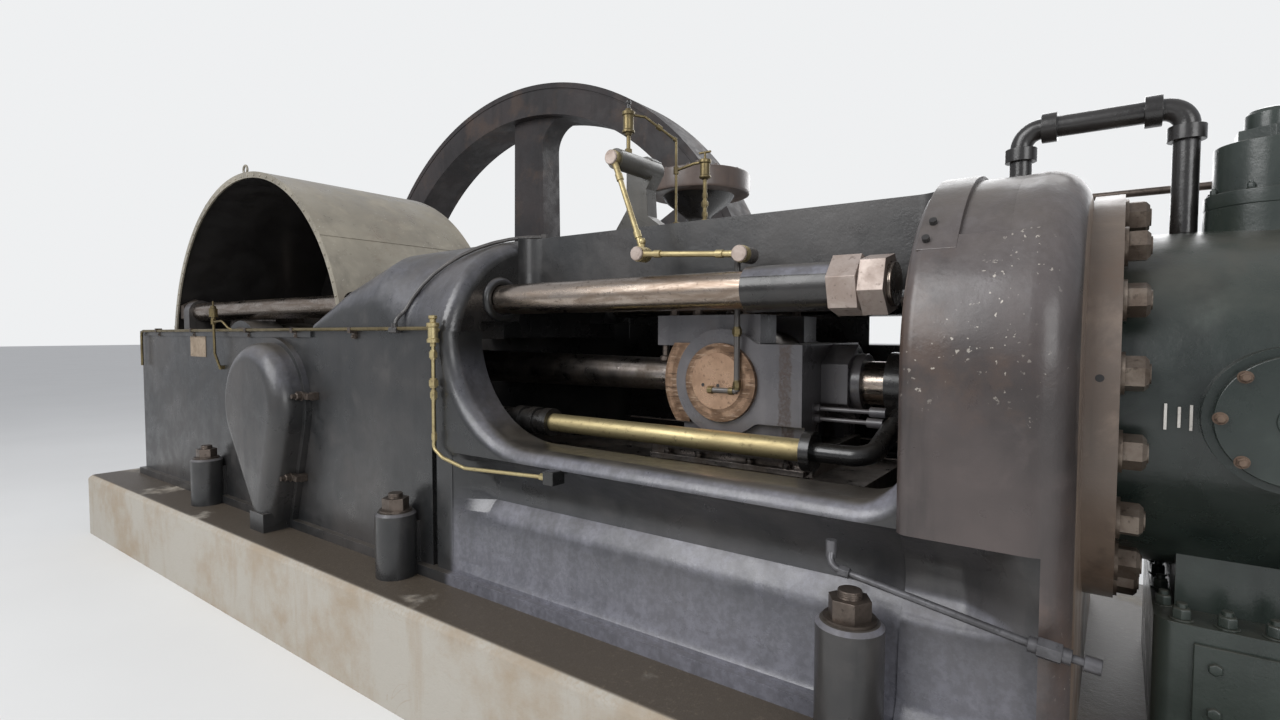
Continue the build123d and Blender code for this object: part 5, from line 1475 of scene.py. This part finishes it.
@dataclass
class CrossheadDressing(Assembly):
    """Small parts of the crosshead and the guides round it."""

    face_y: float = -0.350              # outer face of the pin
    pin_z: float = CRANK_Z
    pin_holes_x: Sequence[float] = (3.705, 3.776, 3.850)
    plate_y: Point = (0.296, 0.319)     # plates beside the round bosses of the cheeks
    plate_r: float = 0.289
    plate_x0: float = 3.62
    plate_z: Point = (-0.178, 0.162)    # their ends below and above the pin
    bracket_x: Sequence[float] = (3.50, 3.62, 3.86)
    shade_panel_y: Point = (0.594, 0.602)
    shade_panels: Sequence[Point] = (   # ends in X, and in Z, of the panels round the hand hole
        (2.604, 3.012, 2.725, 3.425), (3.010, 3.392, 2.725, 3.132), (3.010, 3.392, 3.308, 3.425),
        (3.390, 4.098, 2.725, 3.425), (4.090, 4.606, 2.725, 3.185))

    def build(self) -> None:
        """Makes all of them."""
        self.pin_face()
        self.eye_ring()
        self.eye_plates()
        self.bracket_bolts()
        self.slipper_plates()
        self.guide_rails()
        self.far_window_shade()
        self.rod_coupling()
        self.riser_fittings()

    def pin_face(self) -> None:
        """Inner disc on the pin's face and three near-black studs for its holes, as painted shade."""
        disc = Shape()
        disc.lathe((PIN_X - 0.012, self.face_y + 0.002, self.pin_z + 0.006), Axis.MINUS_Y.value, (
            (0.0, 0.0), (0.0, 0.119), (0.0035, 0.117), (0.0042, 0.0)), 96)
        disc.make("pin_inner_disc", self.finishes.pin_centre, "running_gear", 30.0, "bronze")
        # painted shade: near-black studs stand for the holes
        holes = Shape()
        z = self.pin_z - 0.012
        for x in self.pin_holes_x:
            holes.prism((x, self.face_y + 0.004, z), (x, self.face_y - 0.0029, z), 0.0075, 20)
        holes.make("pin_face_holes", self.finishes.painted_shade, "running_gear", 30.0, "bed_paint")

    def eye_ring(self) -> None:
        """Turned bronze face of the connecting rod's eye, between the crosshead's cheeks."""
        shape = Shape()
        for side in (-1, 1):
            shape.lathe((PIN_X, side * 0.1445, self.pin_z), Vector((0, side, 0)), (
                (0.0, 0.180), (0.0, 0.2145), (0.0018, 0.2135), (0.0025, 0.180), (0.0, 0.180)), 96)
        shape.make("rod_eye_face", self.finishes.pin_face, "running_gear", 30.0, "bronze")

    def eye_plates(self) -> None:
        """Turned plates that show beside the round bosses of the cheeks."""
        shape = Shape()
        y0, y1 = self.plate_y
        for side in (-1, 1):
            part = Shape()
            part.prism((PIN_X, side * y0, self.pin_z), (PIN_X, side * y1, self.pin_z), self.plate_r, 120)
            for at, normal in (((self.plate_x0, 0, 0), Axis.X.value),
                               ((0, 0, self.pin_z + self.plate_z[0]), Axis.MINUS_Z.value),
                               ((0, 0, self.pin_z + self.plate_z[1]), Axis.Z.value)):
                bmesh.ops.holes_fill(part.bm, edges=part.cut(at, normal, clear=True))
            mesh = bpy.data.meshes.new("part")
            part.bm.to_mesh(mesh)
            part.bm.free()
            shape.bm.from_mesh(mesh)
            bpy.data.meshes.remove(mesh)
        bmesh.ops.recalc_face_normals(shape.bm, faces=shape.bm.faces[:])
        shape.ease(0.0025).make("cheek_plates", self.finishes.pin_face, "running_gear", 30.0, "bronze")

    def bracket_bolts(self) -> None:
        """Bolts in the crosshead's top bracket, and the stops that hang from it."""
        top, low = self.pin_z + 0.280, self.pin_z + 0.150
        shape = Shape()
        for side in (-1, 1):
            for x in self.bracket_x:
                shape.bolt((x, side * 0.255, top), Axis.Z.value, 0.040, 0.026, 0.010)
            x, y = 3.462, side * 0.268
            shape.post(x, y, low, low - 0.062, 0.015, 20)
            shape.lathe((x, y, low - 0.046), Axis.MINUS_Z.value, (
                (0.0, 0.0), (0.0, 0.020), (0.006, 0.027), (0.022, 0.027), (0.030, 0.018), (0.032, 0.0)), 28)
        shape.ease(0.0015)
        shape.make("crosshead_bolts", self.finishes.dark_nut, "running_gear", 40.0, "machined_iron")

    def slipper_plates(self) -> None:
        """Edge plates of the slipper with their bolt heads."""
        low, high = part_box("crosshead_slipper")
        shape = Shape()
        z0 = low.z + 0.010
        y = (0.289, 0.332)
        shape.pair((low.x + 0.02, high.x - 0.02), y, (z0, z0 + 0.022))
        shape.pair((low.x + 0.10, high.x - 0.10), y, (z0 + 0.050, z0 + 0.064))
        for side in (-1, 1):
            for x in (low.x + 0.10, PIN_X - 0.12, PIN_X + 0.12, high.x - 0.10):
                shape.bolt((x, side * 0.312, z0 + 0.022), Axis.Z.value, 0.030, 0.016, 0.006)
        shape.ease(0.002)
        shape.make("slipper_plates", self.finishes.iron, "running_gear", 40.0, "machined_iron")

    def guide_rails(self) -> None:
        """Keeper bars beside the lower guide and the drip rails along the side walls, with painted highlights
        along their edges.
        """
        low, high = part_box("crosshead_guide")
        rails = Shape()
        top = low.z + 0.062
        rails.pair((low.x + 0.10, high.x), (0.352, 0.412), (low.z, top))
        rails.pair((2.605, 4.612), (0.5445, 0.597), (2.694, 2.722))
        rails.pair((2.640, 4.600), (0.470, 0.478), (2.610, 2.680))
        for side in (-1, 1):
            for step in range(9):
                at = (low.x + 0.26 + step * 0.22, side * 0.382, top)
                rails.bolt(at, Axis.Z.value, 0.034, 0.016, 0.006)
        rails.ease(0.0025)
        rails.make("guide_rails", self.finishes.black, "engine", 40.0, "machined_iron")
        # painted highlights: thin bright rods along the rail edges
        edges = Shape()
        for side in (-1, 1):
            for y, z, x1 in ((0.5455, 2.7205, 4.610), (0.3535, 2.6705, high.x)):
                edges.prism((2.65, side * y, z), (x1, side * y, z), 0.0032, 10)
        edges.make("rail_edge_highlights", self.finishes.nut, "engine", 60.0, "bare_steel")

    def far_window_shade(self) -> None:
        """Black panels inside the far window as painted shade, with a gap at the hand hole, low beside the
        rod's gland.
        """
        shape = Shape()
        # painted shade: black panels keep the far window dark
        for x0, x1, bottom, top in self.shade_panels:
            shape.block((x0, self.shade_panel_y[0], bottom), (x1, self.shade_panel_y[1], top))
        shape.make("far_window_shade_panels", self.finishes.black, "engine", 40.0, "bed_paint")

    def rod_coupling(self) -> None:
        """Nut, collar and two small rods where the piston rod enters the crosshead."""
        x0 = PIN_X + 0.350
        shape = Shape()
        shape.prism((x0, 0, self.pin_z), (x0 + 0.110, 0, self.pin_z), 0.158, 6)
        shape.prism((x0 + 0.110, 0, self.pin_z), (x0 + 0.150, 0, self.pin_z), 0.120, 48)
        for y, z, x1 in ((-0.205, 2.946, 4.410), (-0.205, 2.905, 4.400), (0.205, 2.946, 4.410)):
            shape.prism((x0 - 0.02, y, z), (x1 - 0.02, y, z), 0.009, 14)
            shape.prism((x1 - 0.060, y, z), (x1, y, z), 0.019, 20)
            shape.bolt((x0, y, z), Axis.X.value, 0.034, 0.024)
        shape.ease(0.003)
        shape.make("rod_coupling", self.finishes.crosshead, "running_gear", 35.0, "machined_iron")

    def riser_fittings(self) -> None:
        """Unions and elbows on the crosshead's riser pipe."""
        x, y = PIN_X + 0.088, -0.362
        shape = Shape()
        for z, size in ((3.250, 0.020), (3.035, 0.017)):
            shape.union((x, y, z), size, 0.012, 0.020, 0.78)
        shape.prism((PIN_X - 0.044, y, 3.010), (PIN_X - 0.020, y, 3.010), 0.0165, 6)
        shape.prism((x - 0.034, y, 3.010), (x - 0.014, y, 3.010), 0.0160, 16)
        shape.prism((PIN_X - 0.040, y, 3.010), (PIN_X - 0.040, self.face_y, 3.010), 0.013, 16)
        shape.ease(0.0015)
        shape.make("riser_fittings", self.finishes.dull_brass, "running_gear", 40.0, "brass")


@dataclass
class OilerDressing(Assembly):
    """Sockets of the swinging links and the two oilers on the beam."""

    upper: Point = (3.271, -0.407, 4.020)       # fixed pivot
    knuckle: Point = (3.440, -0.407, 3.581)     # joint of the two links, at rest
    end: Point = (3.927, -0.442, 3.548)         # pin on the crosshead's standpipe
    socket_l: float = 0.085
    socket_r: float = 0.0145
    stand_y: float = -0.110
    feed: Point = (3.274, -0.300)               # X and Y of the drip feed
    feed_arm: Point = (0.05, 0.06)              # its pipe's first reach in X and Y
    thin_x: float = 3.410
    beam_oiler_x: float = 3.566
    beam_top: float = 3.732

    def build(self) -> None:
        """Makes all of them."""
        low_knuckle = (self.knuckle[0], self.end[1], self.knuckle[2])
        self.sockets("upper_link_sockets", self.upper, self.knuckle, "oiler_upper")
        self.sockets("lower_link_sockets", low_knuckle, self.end, "oiler_lower")
        self.pin_heads()
        self.drip_feed()
        self.second_oiler()

    def sockets(self, name: str, start: Point, end: Point, body: str) -> None:
        """Flared brass sockets at both ends of one link.

        Args:
            name: Name of the piece.
            start: The link's first pivot.
            end: Its other pivot.
            body: The body that it rides on.
        """
        first, last = Vector(start), Vector(end)
        way = (last - first).normalized()
        shape = Shape()
        long, radius = self.socket_l, self.socket_r
        for at, along in ((first, way), (last, -way)):
            shape.lathe(at + along * 0.026, along, (
                (0.0, 0.0), (0.0, radius * 1.1), (0.012, radius), (long * 0.62, radius * 0.86),
                (long * 0.64, radius * 1.12), (long, radius * 1.12), (long + 0.004, 0.0)), 32)
        shape.make(name, self.finishes.brass, body, 35.0, "brass")

    def pin_heads(self) -> None:
        """Round steel heads on the pins of the linkage."""
        x, z = self.knuckle[0], self.knuckle[2]
        for name, at, out, radius, body in (
                ("upper_pin_head", self.upper, 0.013, 0.032, "engine"),
                ("end_pin_head", self.end, 0.0165, 0.032, "running_gear"),
                ("knuckle_pin_head", (x, self.end[1], z), 0.0155, 0.030, "oiler_lower")):
            shape = Shape()
            shape.lathe((at[0], at[1] - out, at[2]), Axis.MINUS_Y.value, (
                (0.0, 0.0), (0.0, radius), (0.008, radius), (0.011, radius - 0.003), (0.0115, 0.0)), 40)
            shape.make(name, self.finishes.nut, body, 35.0, "bare_steel")
        ball = Shape()
        ball.prism((x - 0.006, self.upper[1], z + 0.028), (x - 0.010, self.upper[1], z + 0.052), 0.011, 16)
        ball.lathe((x - 0.010, self.upper[1], z + 0.040), Axis.Z.value, (
            (0.0, 0.0), (0.003, 0.010), (0.012, 0.015), (0.022, 0.015), (0.031, 0.010), (0.034, 0.0)), 28)
        ball.make("knuckle_ball", self.finishes.brass, "oiler_upper", 50.0, "brass")

    def drip_feed(self) -> None:
        """Brass drip feed over the fixed pivot, with the thin pipe behind it."""
        x, y = self.feed
        boss_top = self.upper[2] + 0.040
        shape = Shape()
        shape.post(x, y, boss_top - 0.01, 4.150, 0.0095, 16)
        shape.post(x, y, boss_top, boss_top + 0.022, 0.017, 6)
        shape.lathe((x, y, 4.142), Axis.Z.value, (
            (0.0, 0.0), (0.0, 0.014), (0.010, 0.018), (0.012, 0.029), (0.022, 0.029), (0.026, 0.0245),
            (0.088, 0.0245), (0.092, 0.030), (0.106, 0.030), (0.110, 0.018), (0.120, 0.014),
            (0.122, 0.0)), 36)
        thin_x, thin_y = self.thin_x, self.stand_y
        elbow = Vector((x + self.feed_arm[0], y + self.feed_arm[1], 4.232))
        corner = Vector((thin_x, thin_y, 4.142))
        shape.pipe(((x, y, 4.238), elbow, corner, (thin_x, thin_y, self.beam_top + 0.003)), 0.0062, 0.012)
        middle = elbow.lerp(corner, 0.45)
        way = (corner - elbow).normalized()
        shape.prism(middle - way * 0.014, middle + way * 0.014, 0.0135, 6)
        shape.prism(corner - way * 0.016, corner, 0.010, 14)
        shape.post(thin_x, thin_y, 4.020, 3.985, 0.013, 6)
        shape.post(thin_x, thin_y, self.beam_top, self.beam_top + 0.030, 0.016, 6)
        shape.ease(0.001, 1)
        shape.make("drip_feed", self.finishes.dull_brass, "engine", 40.0, "brass")
        cap = Shape()
        cap.post(x, y, 4.258, 4.292, 0.0075, 14)
        cap.lathe((x, y, 4.284), Axis.Z.value, (
            (0.0, 0.0), (0.0, 0.010), (0.006, 0.013), (0.014, 0.010), (0.017, 0.0)), 24)
        cap.make("drip_feed_knob", self.finishes.black, "engine", 50.0, "bed_paint")

    def second_oiler(self) -> None:
        """Oiler on its own stem beside the thin pipe, joined to it by an arm."""
        x, y = self.beam_oiler_x, self.stand_y
        shape = Shape()
        shape.post(x, y, self.beam_top, 3.975, 0.0095, 16)
        for z, size in ((3.745, 0.021), (3.782, 0.014), (3.830, 0.017), (3.868, 0.013)):
            shape.union((x, y, z), size, 0.010, 0.016, 0.75)
        shape.lathe((x, y, 3.940), Axis.Z.value, (
            (0.0, 0.0), (0.0, 0.014), (0.008, 0.027), (0.014, 0.027), (0.018, 0.0225), (0.070, 0.0225),
            (0.074, 0.028), (0.088, 0.028), (0.092, 0.012), (0.094, 0.0)), 32)
        shape.pipe(((self.thin_x, y, 4.003), (x - 0.06, y, 4.020), (x, y, 4.020)), 0.0068, 0.03)
        shape.post(x, y, 4.028, 4.066, 0.006, 12)
        shape.prism((x - 0.030, y, 4.062), (x + 0.030, y, 4.062), 0.0055, 12)
        shape.ease(0.001, 1)
        shape.make("beam_oiler", self.finishes.dull_brass, "engine", 40.0, "brass")


@dataclass
class TieRodDressing(Assembly):
    """End nuts of the tie rods, the rims where they leave the portal and their thread ends."""

    rod_r: float = 0.073
    portal_x: float = 2.600

    def build(self) -> None:
        """Makes all of them."""
        low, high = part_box("tie_rods")
        y, z = high.y - self.rod_r, (low.z + high.z) / 2
        nuts, rims = Shape(), Shape()
        for side in (-1, 1):
            at = Vector((low.x, side * y, z))
            nuts.prism(at + Vector((0.004, 0, 0)), at + Vector((0.068, 0, 0)), 0.108, 6)
            nuts.lathe(at + Vector((0.006, 0, 0)), Axis.MINUS_X.value, (
                (0.0, 0.0), (0.0, 0.074), (0.012, 0.070), (0.026, 0.052), (0.034, 0.026), (0.036, 0.0)), 48)
            rims.lathe((self.portal_x - 0.004, side * y, z), Axis.X.value, (
                (0.0, 0.0765), (0.0, 0.112), (0.010, 0.112), (0.022, 0.104), (0.027, 0.090), (0.022, 0.0765),
                (0.0, 0.0765)), 72)
            for step in range(3):
                nuts.ring((high.x - 0.003 - 0.0045 * step, side * y, z), Axis.X.value, 0.0725, 0.0018, 48)
        nuts.ease(0.003)
        nuts.make("tie_rod_ends", self.finishes.dark_nut, "engine", 35.0, "machined_iron")
        rims.make("tie_rod_rims", self.finishes.frame, "engine", 60.0, "bed_paint")


@dataclass
class PowerCylinder(Assembly):
    """Nuts, cover bolts, dabs, bolt holes and drain of the cylinder and its adapter."""

    nut_ring: float = 0.590
    nut_count: int = 18
    nut_across: float = 0.094
    cover_ring: float = 0.145
    cover_bolts: int = 8
    dabs: Sequence[Point] = ((5.204, 0.034), (5.232, 0.027), (5.256, 0.033))    # X and half the height
    dab_y: Point = (-0.5270, -0.512)
    dab_half: float = 0.0032
    dab_z: float = 3.030
    bonnet_ring: float = 0.139
    tail_ring: float = 0.199
    small_count: int = 8            # nuts of a bonnet and of the tail guard
    shoulder: Point = (-0.25, 3.145)            # Y and Z of the rounded shoulder's axis
    strap_hole_at: Sequence[Point] = ((4.665, 43.5), (4.656, 37.0))     # X and degrees above level
    flange_hole_at: Point = (5.064, 8.0)
    drain_y: float = -0.872

    def build(self) -> None:
        """Makes all of them."""
        low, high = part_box("cylinder")
        self.near_x, self.far_x = low.x, high.x
        self.joint_nuts()
        self.cover_fittings()
        self.barrel_dabs()
        self.bonnet_nuts()
        self.chest_bolts()
        self.strap_holes()
        self.drain()
        self.tail_bolts()

    def joint_nuts(self) -> None:
        """Nuts and studs round both bolted joints."""
        shape = Shape()
        pitch = 360.0 / self.nut_count
        for x, way in ((self.near_x, Axis.X.value), (self.far_x + 0.090, Axis.X.value),
                       (self.far_x - 0.077, Axis.MINUS_X.value)):
            for index in range(self.nut_count):
                angle = math.radians((index + 0.5) * pitch)
                at = (x, -self.nut_ring * math.cos(angle), CRANK_Z + self.nut_ring * math.sin(angle))
                shape.bolt(at, way, self.nut_across, 0.050, 0.004, turn=angle + 0.37 * index)
        shape.make("joint_nuts", self.finishes.flange_nut, "engine", 35.0, "bare_steel")

    def cover_fittings(self) -> None:
        """Bolts and the centre boss on each round side cover."""
        low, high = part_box("side_covers")
        rings, bolts = Shape(), Shape()
        for x in (low.x + 0.158, high.x - 0.158):
            for side in (-1, 1):
                way = Vector((0, side, 0))
                face = high.y * side
                rings.lathe((x, face - side * 0.001, CRANK_Z), way, (
                    (0.0, 0.0), (0.0, 0.046), (0.005, 0.044), (0.006, 0.0)), 48)
                for index in range(self.cover_bolts):
                    angle = math.tau * index / self.cover_bolts
                    right, up = self.cover_ring * math.cos(angle), self.cover_ring * math.sin(angle)
                    at = (x + right, face, CRANK_Z + up)
                    bolts.bolt(at, way, 0.026, 0.015, 0.004, turn=0.4 * index)
        rings.make("cover_rings", self.finishes.cylinder, "engine", 60.0, "cylinder_paint")
        bolts.make("cover_bolts", self.finishes.rusty_nut, "engine", 35.0, "machined_iron")

    def barrel_dabs(self) -> None:
        """Three thin chalky dabs on the barrel, beside the cover."""
        dabs = Shape()
        for x, half in self.dabs:
            dabs.block((x - self.dab_half, self.dab_y[0], self.dab_z - half),
                       (x + self.dab_half, self.dab_y[1], self.dab_z + half))
        dabs.ease(0.0008).make("barrel_dabs", self.finishes.dab, "engine", 60.0, "bare_steel")

    def bonnet_nuts(self) -> None:
        """Nuts on the flange of each valve bonnet, and its cap nut."""
        low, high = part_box("inlet_bonnets")
        shape = Shape()
        for x in (low.x + 0.148, high.x - 0.148):
            for index in range(self.small_count):
                angle = math.tau * (index + 0.5) / self.small_count
                right, back = self.bonnet_ring * math.cos(angle), self.bonnet_ring * math.sin(angle)
                at = (x + right, back, low.z + 0.045)
                shape.bolt(at, Axis.Z.value, 0.018, 0.014, 0.005, turn=angle)
            shape.post(x, 0, high.z - 0.092, high.z - 0.050, 0.088, 6)
            shape.lathe((x, 0, high.z - 0.002), Axis.Z.value, (
                (0.0, 0.0), (0.0, 0.057), (0.010, 0.052), (0.018, 0.030), (0.020, 0.0)), 40)
        shape.ease(0.002)
        shape.make("bonnet_nuts", self.finishes.cylinder, "engine", 35.0, "cylinder_paint")

    def chest_bolts(self) -> None:
        """Nuts under the cylinder, round the top of each valve chest."""
        shape = Shape()
        for node in ("exhaust_chest_front", "exhaust_chest_rear"):
            low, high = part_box(node)
            x = (low.x + high.x) / 2
            for side in (-1, 1):
                for step in (-2, -1, 0, 1, 2):
                    shape.bolt((x + step * 0.095, side * 0.395, high.z), Axis.Z.value, 0.046, 0.030, 0.012)
                    shape.bolt((x + side * 0.225, step * 0.15, high.z), Axis.Z.value, 0.040, 0.028, 0.012)
                for z in (low.z + 0.16, high.z - 0.10):
                    shape.bolt((x + side * 0.12, -0.430, z), Axis.MINUS_Y.value, 0.034, 0.022)
            shape.block((x - 0.165, -0.442, low.z + 0.10), (x + 0.165, -0.428, high.z - 0.045))
        shape.ease(0.002, 1)
        shape.make("chest_bolts", self.finishes.cylinder, "engine", 35.0, "cylinder_paint")

    def strap_holes(self) -> None:
        """Near-black studs for the bolt holes in the shoulder strap and in the joint flange, as painted
        shade.
        """
        shape = Shape()
        y, z = self.shoulder
        holes = [((x, y, z), degrees, 0.600, 0.6162, 0.0105) for x, degrees in self.strap_hole_at]
        holes.append(((self.flange_hole_at[0], 0, CRANK_Z), self.flange_hole_at[1], 0.640, 0.6556, 0.010))
        for axis, degrees, start, end, radius in holes:
            angle = math.radians(degrees)
            way = Vector((0, -math.cos(angle), math.sin(angle)))
            shape.prism(Vector(axis) + way * start, Vector(axis) + way * end, radius, 20)
        # painted shade for the holes
        shape.make("flange_holes", self.finishes.painted_shade, "engine", 40.0, "bed_paint")

    def drain(self) -> None:
        """Drain pipe with its union along the foot of the adapter."""
        y = self.drain_y
        shape = Shape()
        shape.post(4.436, y + 0.03, 2.588, 2.640, 0.016, 20)
        shape.pipe(
            ((4.436, y + 0.03, 2.620), (4.440, y + 0.01, 2.568), (4.534, y, 2.556), (4.975, y, 2.482),
             (5.070, y, 2.472)), 0.0105, 0.05)
        way = Vector((0.095, 0, -0.010)).normalized()
        at = Vector((4.960, y, 2.4845))
        shape.prism(at, at + way * 0.052, 0.026, 6)
        shape.prism(at - way * 0.020, at + way * 0.072, 0.019, 20)
        shape.prism((5.055, y, 2.4735), (5.090, y, 2.470), 0.019, 20)
        shape.prism((4.470, y, 2.566), (4.500, y, 2.562), 0.017, 6)
        shape.ease(0.0015, 1)
        shape.make("drain_pipe", self.finishes.drain, "engine", 40.0, "machined_iron")

    def tail_bolts(self) -> None:
        """Bolts of the tail guard's flange and of its support's foot."""
        shape = Shape()
        _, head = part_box("rear_head")
        for index in range(self.small_count):
            angle = math.tau * (index + 0.5) / self.small_count
            at = (head.x, self.tail_ring * math.cos(angle), CRANK_Z + self.tail_ring * math.sin(angle))
            shape.bolt(at, Axis.X.value, 0.036, 0.024, 0.010, turn=angle)
        foot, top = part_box("tail_support")
        for x in (foot.x + 0.045, top.x - 0.045):
            for y in (-0.205, 0.205):
                shape.bolt((x, y, foot.z + 0.050), Axis.Z.value, 0.042, 0.028, 0.014)
        shape.make("tail_bolts", self.finishes.dark_nut, "engine", 35.0, "machined_iron")


@dataclass
class FarSide(Assembly):
    """Governor drum, outboard bearing and hub details."""

    drum_side: float = 0.135        # height of the governor drum's side
    lid_bolts: int = 10
    lid_ring_in: float = 0.055      # lid bolts inside the drum's edge
    cap_r: float = 0.30             # round top of the outboard bearing's cap
    cap_nut_x: float = 0.235
    foot_bolt_x: float = 0.405

    def build(self) -> None:
        """Makes all of them."""
        self.governor_drum()
        self.bearing_bolts()
        self.hub_rings()

    def governor_drum(self) -> None:
        """Low drum of the governor on its dark cone, with lid bolts and centre spindle."""
        low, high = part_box("governor")
        x, y, radius = (low.x + high.x) / 2, (low.y + high.y) / 2, (high.x - low.x) / 2
        top, side = high.z - low.z, self.drum_side
        drum = Shape()
        under = top - side
        drum.lathe((x, y, low.z), Axis.Z.value, (
            (under, 0.0), (under, 0.235), (under, radius - 0.022), (under + 0.006, radius - 0.006),
            (under + 0.020, radius), (top - 0.016, radius), (top - 0.005, radius - 0.005),
            (top, radius - 0.018), (top + 0.008, radius * 0.6), (top + 0.012, 0.07), (top + 0.040, 0.066),
            (top + 0.044, 0.0)), 96)
        ring = radius - self.lid_ring_in
        for index in range(self.lid_bolts):
            angle = math.tau * index / self.lid_bolts
            at = (x + ring * math.cos(angle), y + ring * math.sin(angle), high.z)
            drum.bolt(at, Axis.Z.value, 0.026, 0.014)
        drum.post(x, y, high.z + 0.03, high.z + 0.10, 0.022, 24)
        piece = drum.make("governor_drum", self.finishes.drum, "engine", 40.0, "bed_paint")
        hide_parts("governor")
        cone = Shape()
        cone.lathe((x, y, low.z), Axis.Z.value, (
            (0.0, 0.0), (0.0, 0.075), (0.030, 0.075), (0.050, 0.085), (under - 0.040, 0.205),
            (under + 0.004, 0.235), (under + 0.006, 0.0)), 72)
        cone.make("governor_cone", self.finishes.black, "engine", 50.0, "bed_paint")

    def bearing_bolts(self) -> None:
        """Cap nuts, foot bolts and oil lid of the outboard bearing."""
        shape = Shape()
        low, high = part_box("outboard_cap")
        z = low.z + math.sqrt(self.cap_r ** 2 - self.cap_nut_x ** 2) - 0.012
        for x in (-self.cap_nut_x, self.cap_nut_x):
            for y in (low.y + 0.09, high.y - 0.09):
                shape.post(x, y, z - 0.02, z + 0.012, 0.052, 32)
                shape.bolt((x, y, z + 0.012), Axis.Z.value, 0.060, 0.044, 0.016)
        middle = (low.y + high.y) / 2
        shape.block((-0.075, middle - 0.06, high.z - 0.012), (0.075, middle + 0.06, high.z + 0.022))
        foot_low, foot_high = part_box("outboard_pedestal")
        for x in (-self.foot_bolt_x, self.foot_bolt_x):
            for y in (foot_low.y + 0.07, foot_high.y - 0.07):
                shape.bolt((x, y, foot_low.z + 0.090), Axis.Z.value, 0.070, 0.048, 0.020)
        shape.ease(0.002)
        shape.make("outboard_bolts", self.finishes.dark_nut, "engine", 35.0, "machined_iron")

    def hub_rings(self) -> None:
        """Turned rings on both faces of the flywheel's hub and the head of its key."""
        low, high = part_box("flywheel_spider")
        shape = Shape()
        for y, side in ((low.y, -1), (high.y, 1)):
            shape.lathe((0, y - side * 0.002, CRANK_Z), Vector((0, side, 0)), (
                (0.0, 0.205), (0.0, 0.300), (0.010, 0.292), (0.012, 0.215), (0.0, 0.205)), 96)
            y0, y1 = sorted((y - side * 0.002, y + side * 0.045))
            shape.block((-0.030, y0, CRANK_Z + 0.180), (0.030, y1, CRANK_Z + 0.232))
        shape.make("hub_rings", self.finishes.iron, "flywheel_and_shaft", 35.0, "machined_iron")


def main() -> None:
    """Builds the studio and every sub-assembly, in order."""
    logging.basicConfig(level=logging.INFO, format="%(message)s")
    engine = EngineFrame()
    finishes = Finishes()
    Studio().build()
    for assembly in (Castings, Remainder, HoodSheet, BedFittings, CrossheadDressing, OilerDressing,
                     TieRodDressing, PowerCylinder, FarSide):
        assembly(engine, finishes).build()


if __name__ == "__main__":
    main()
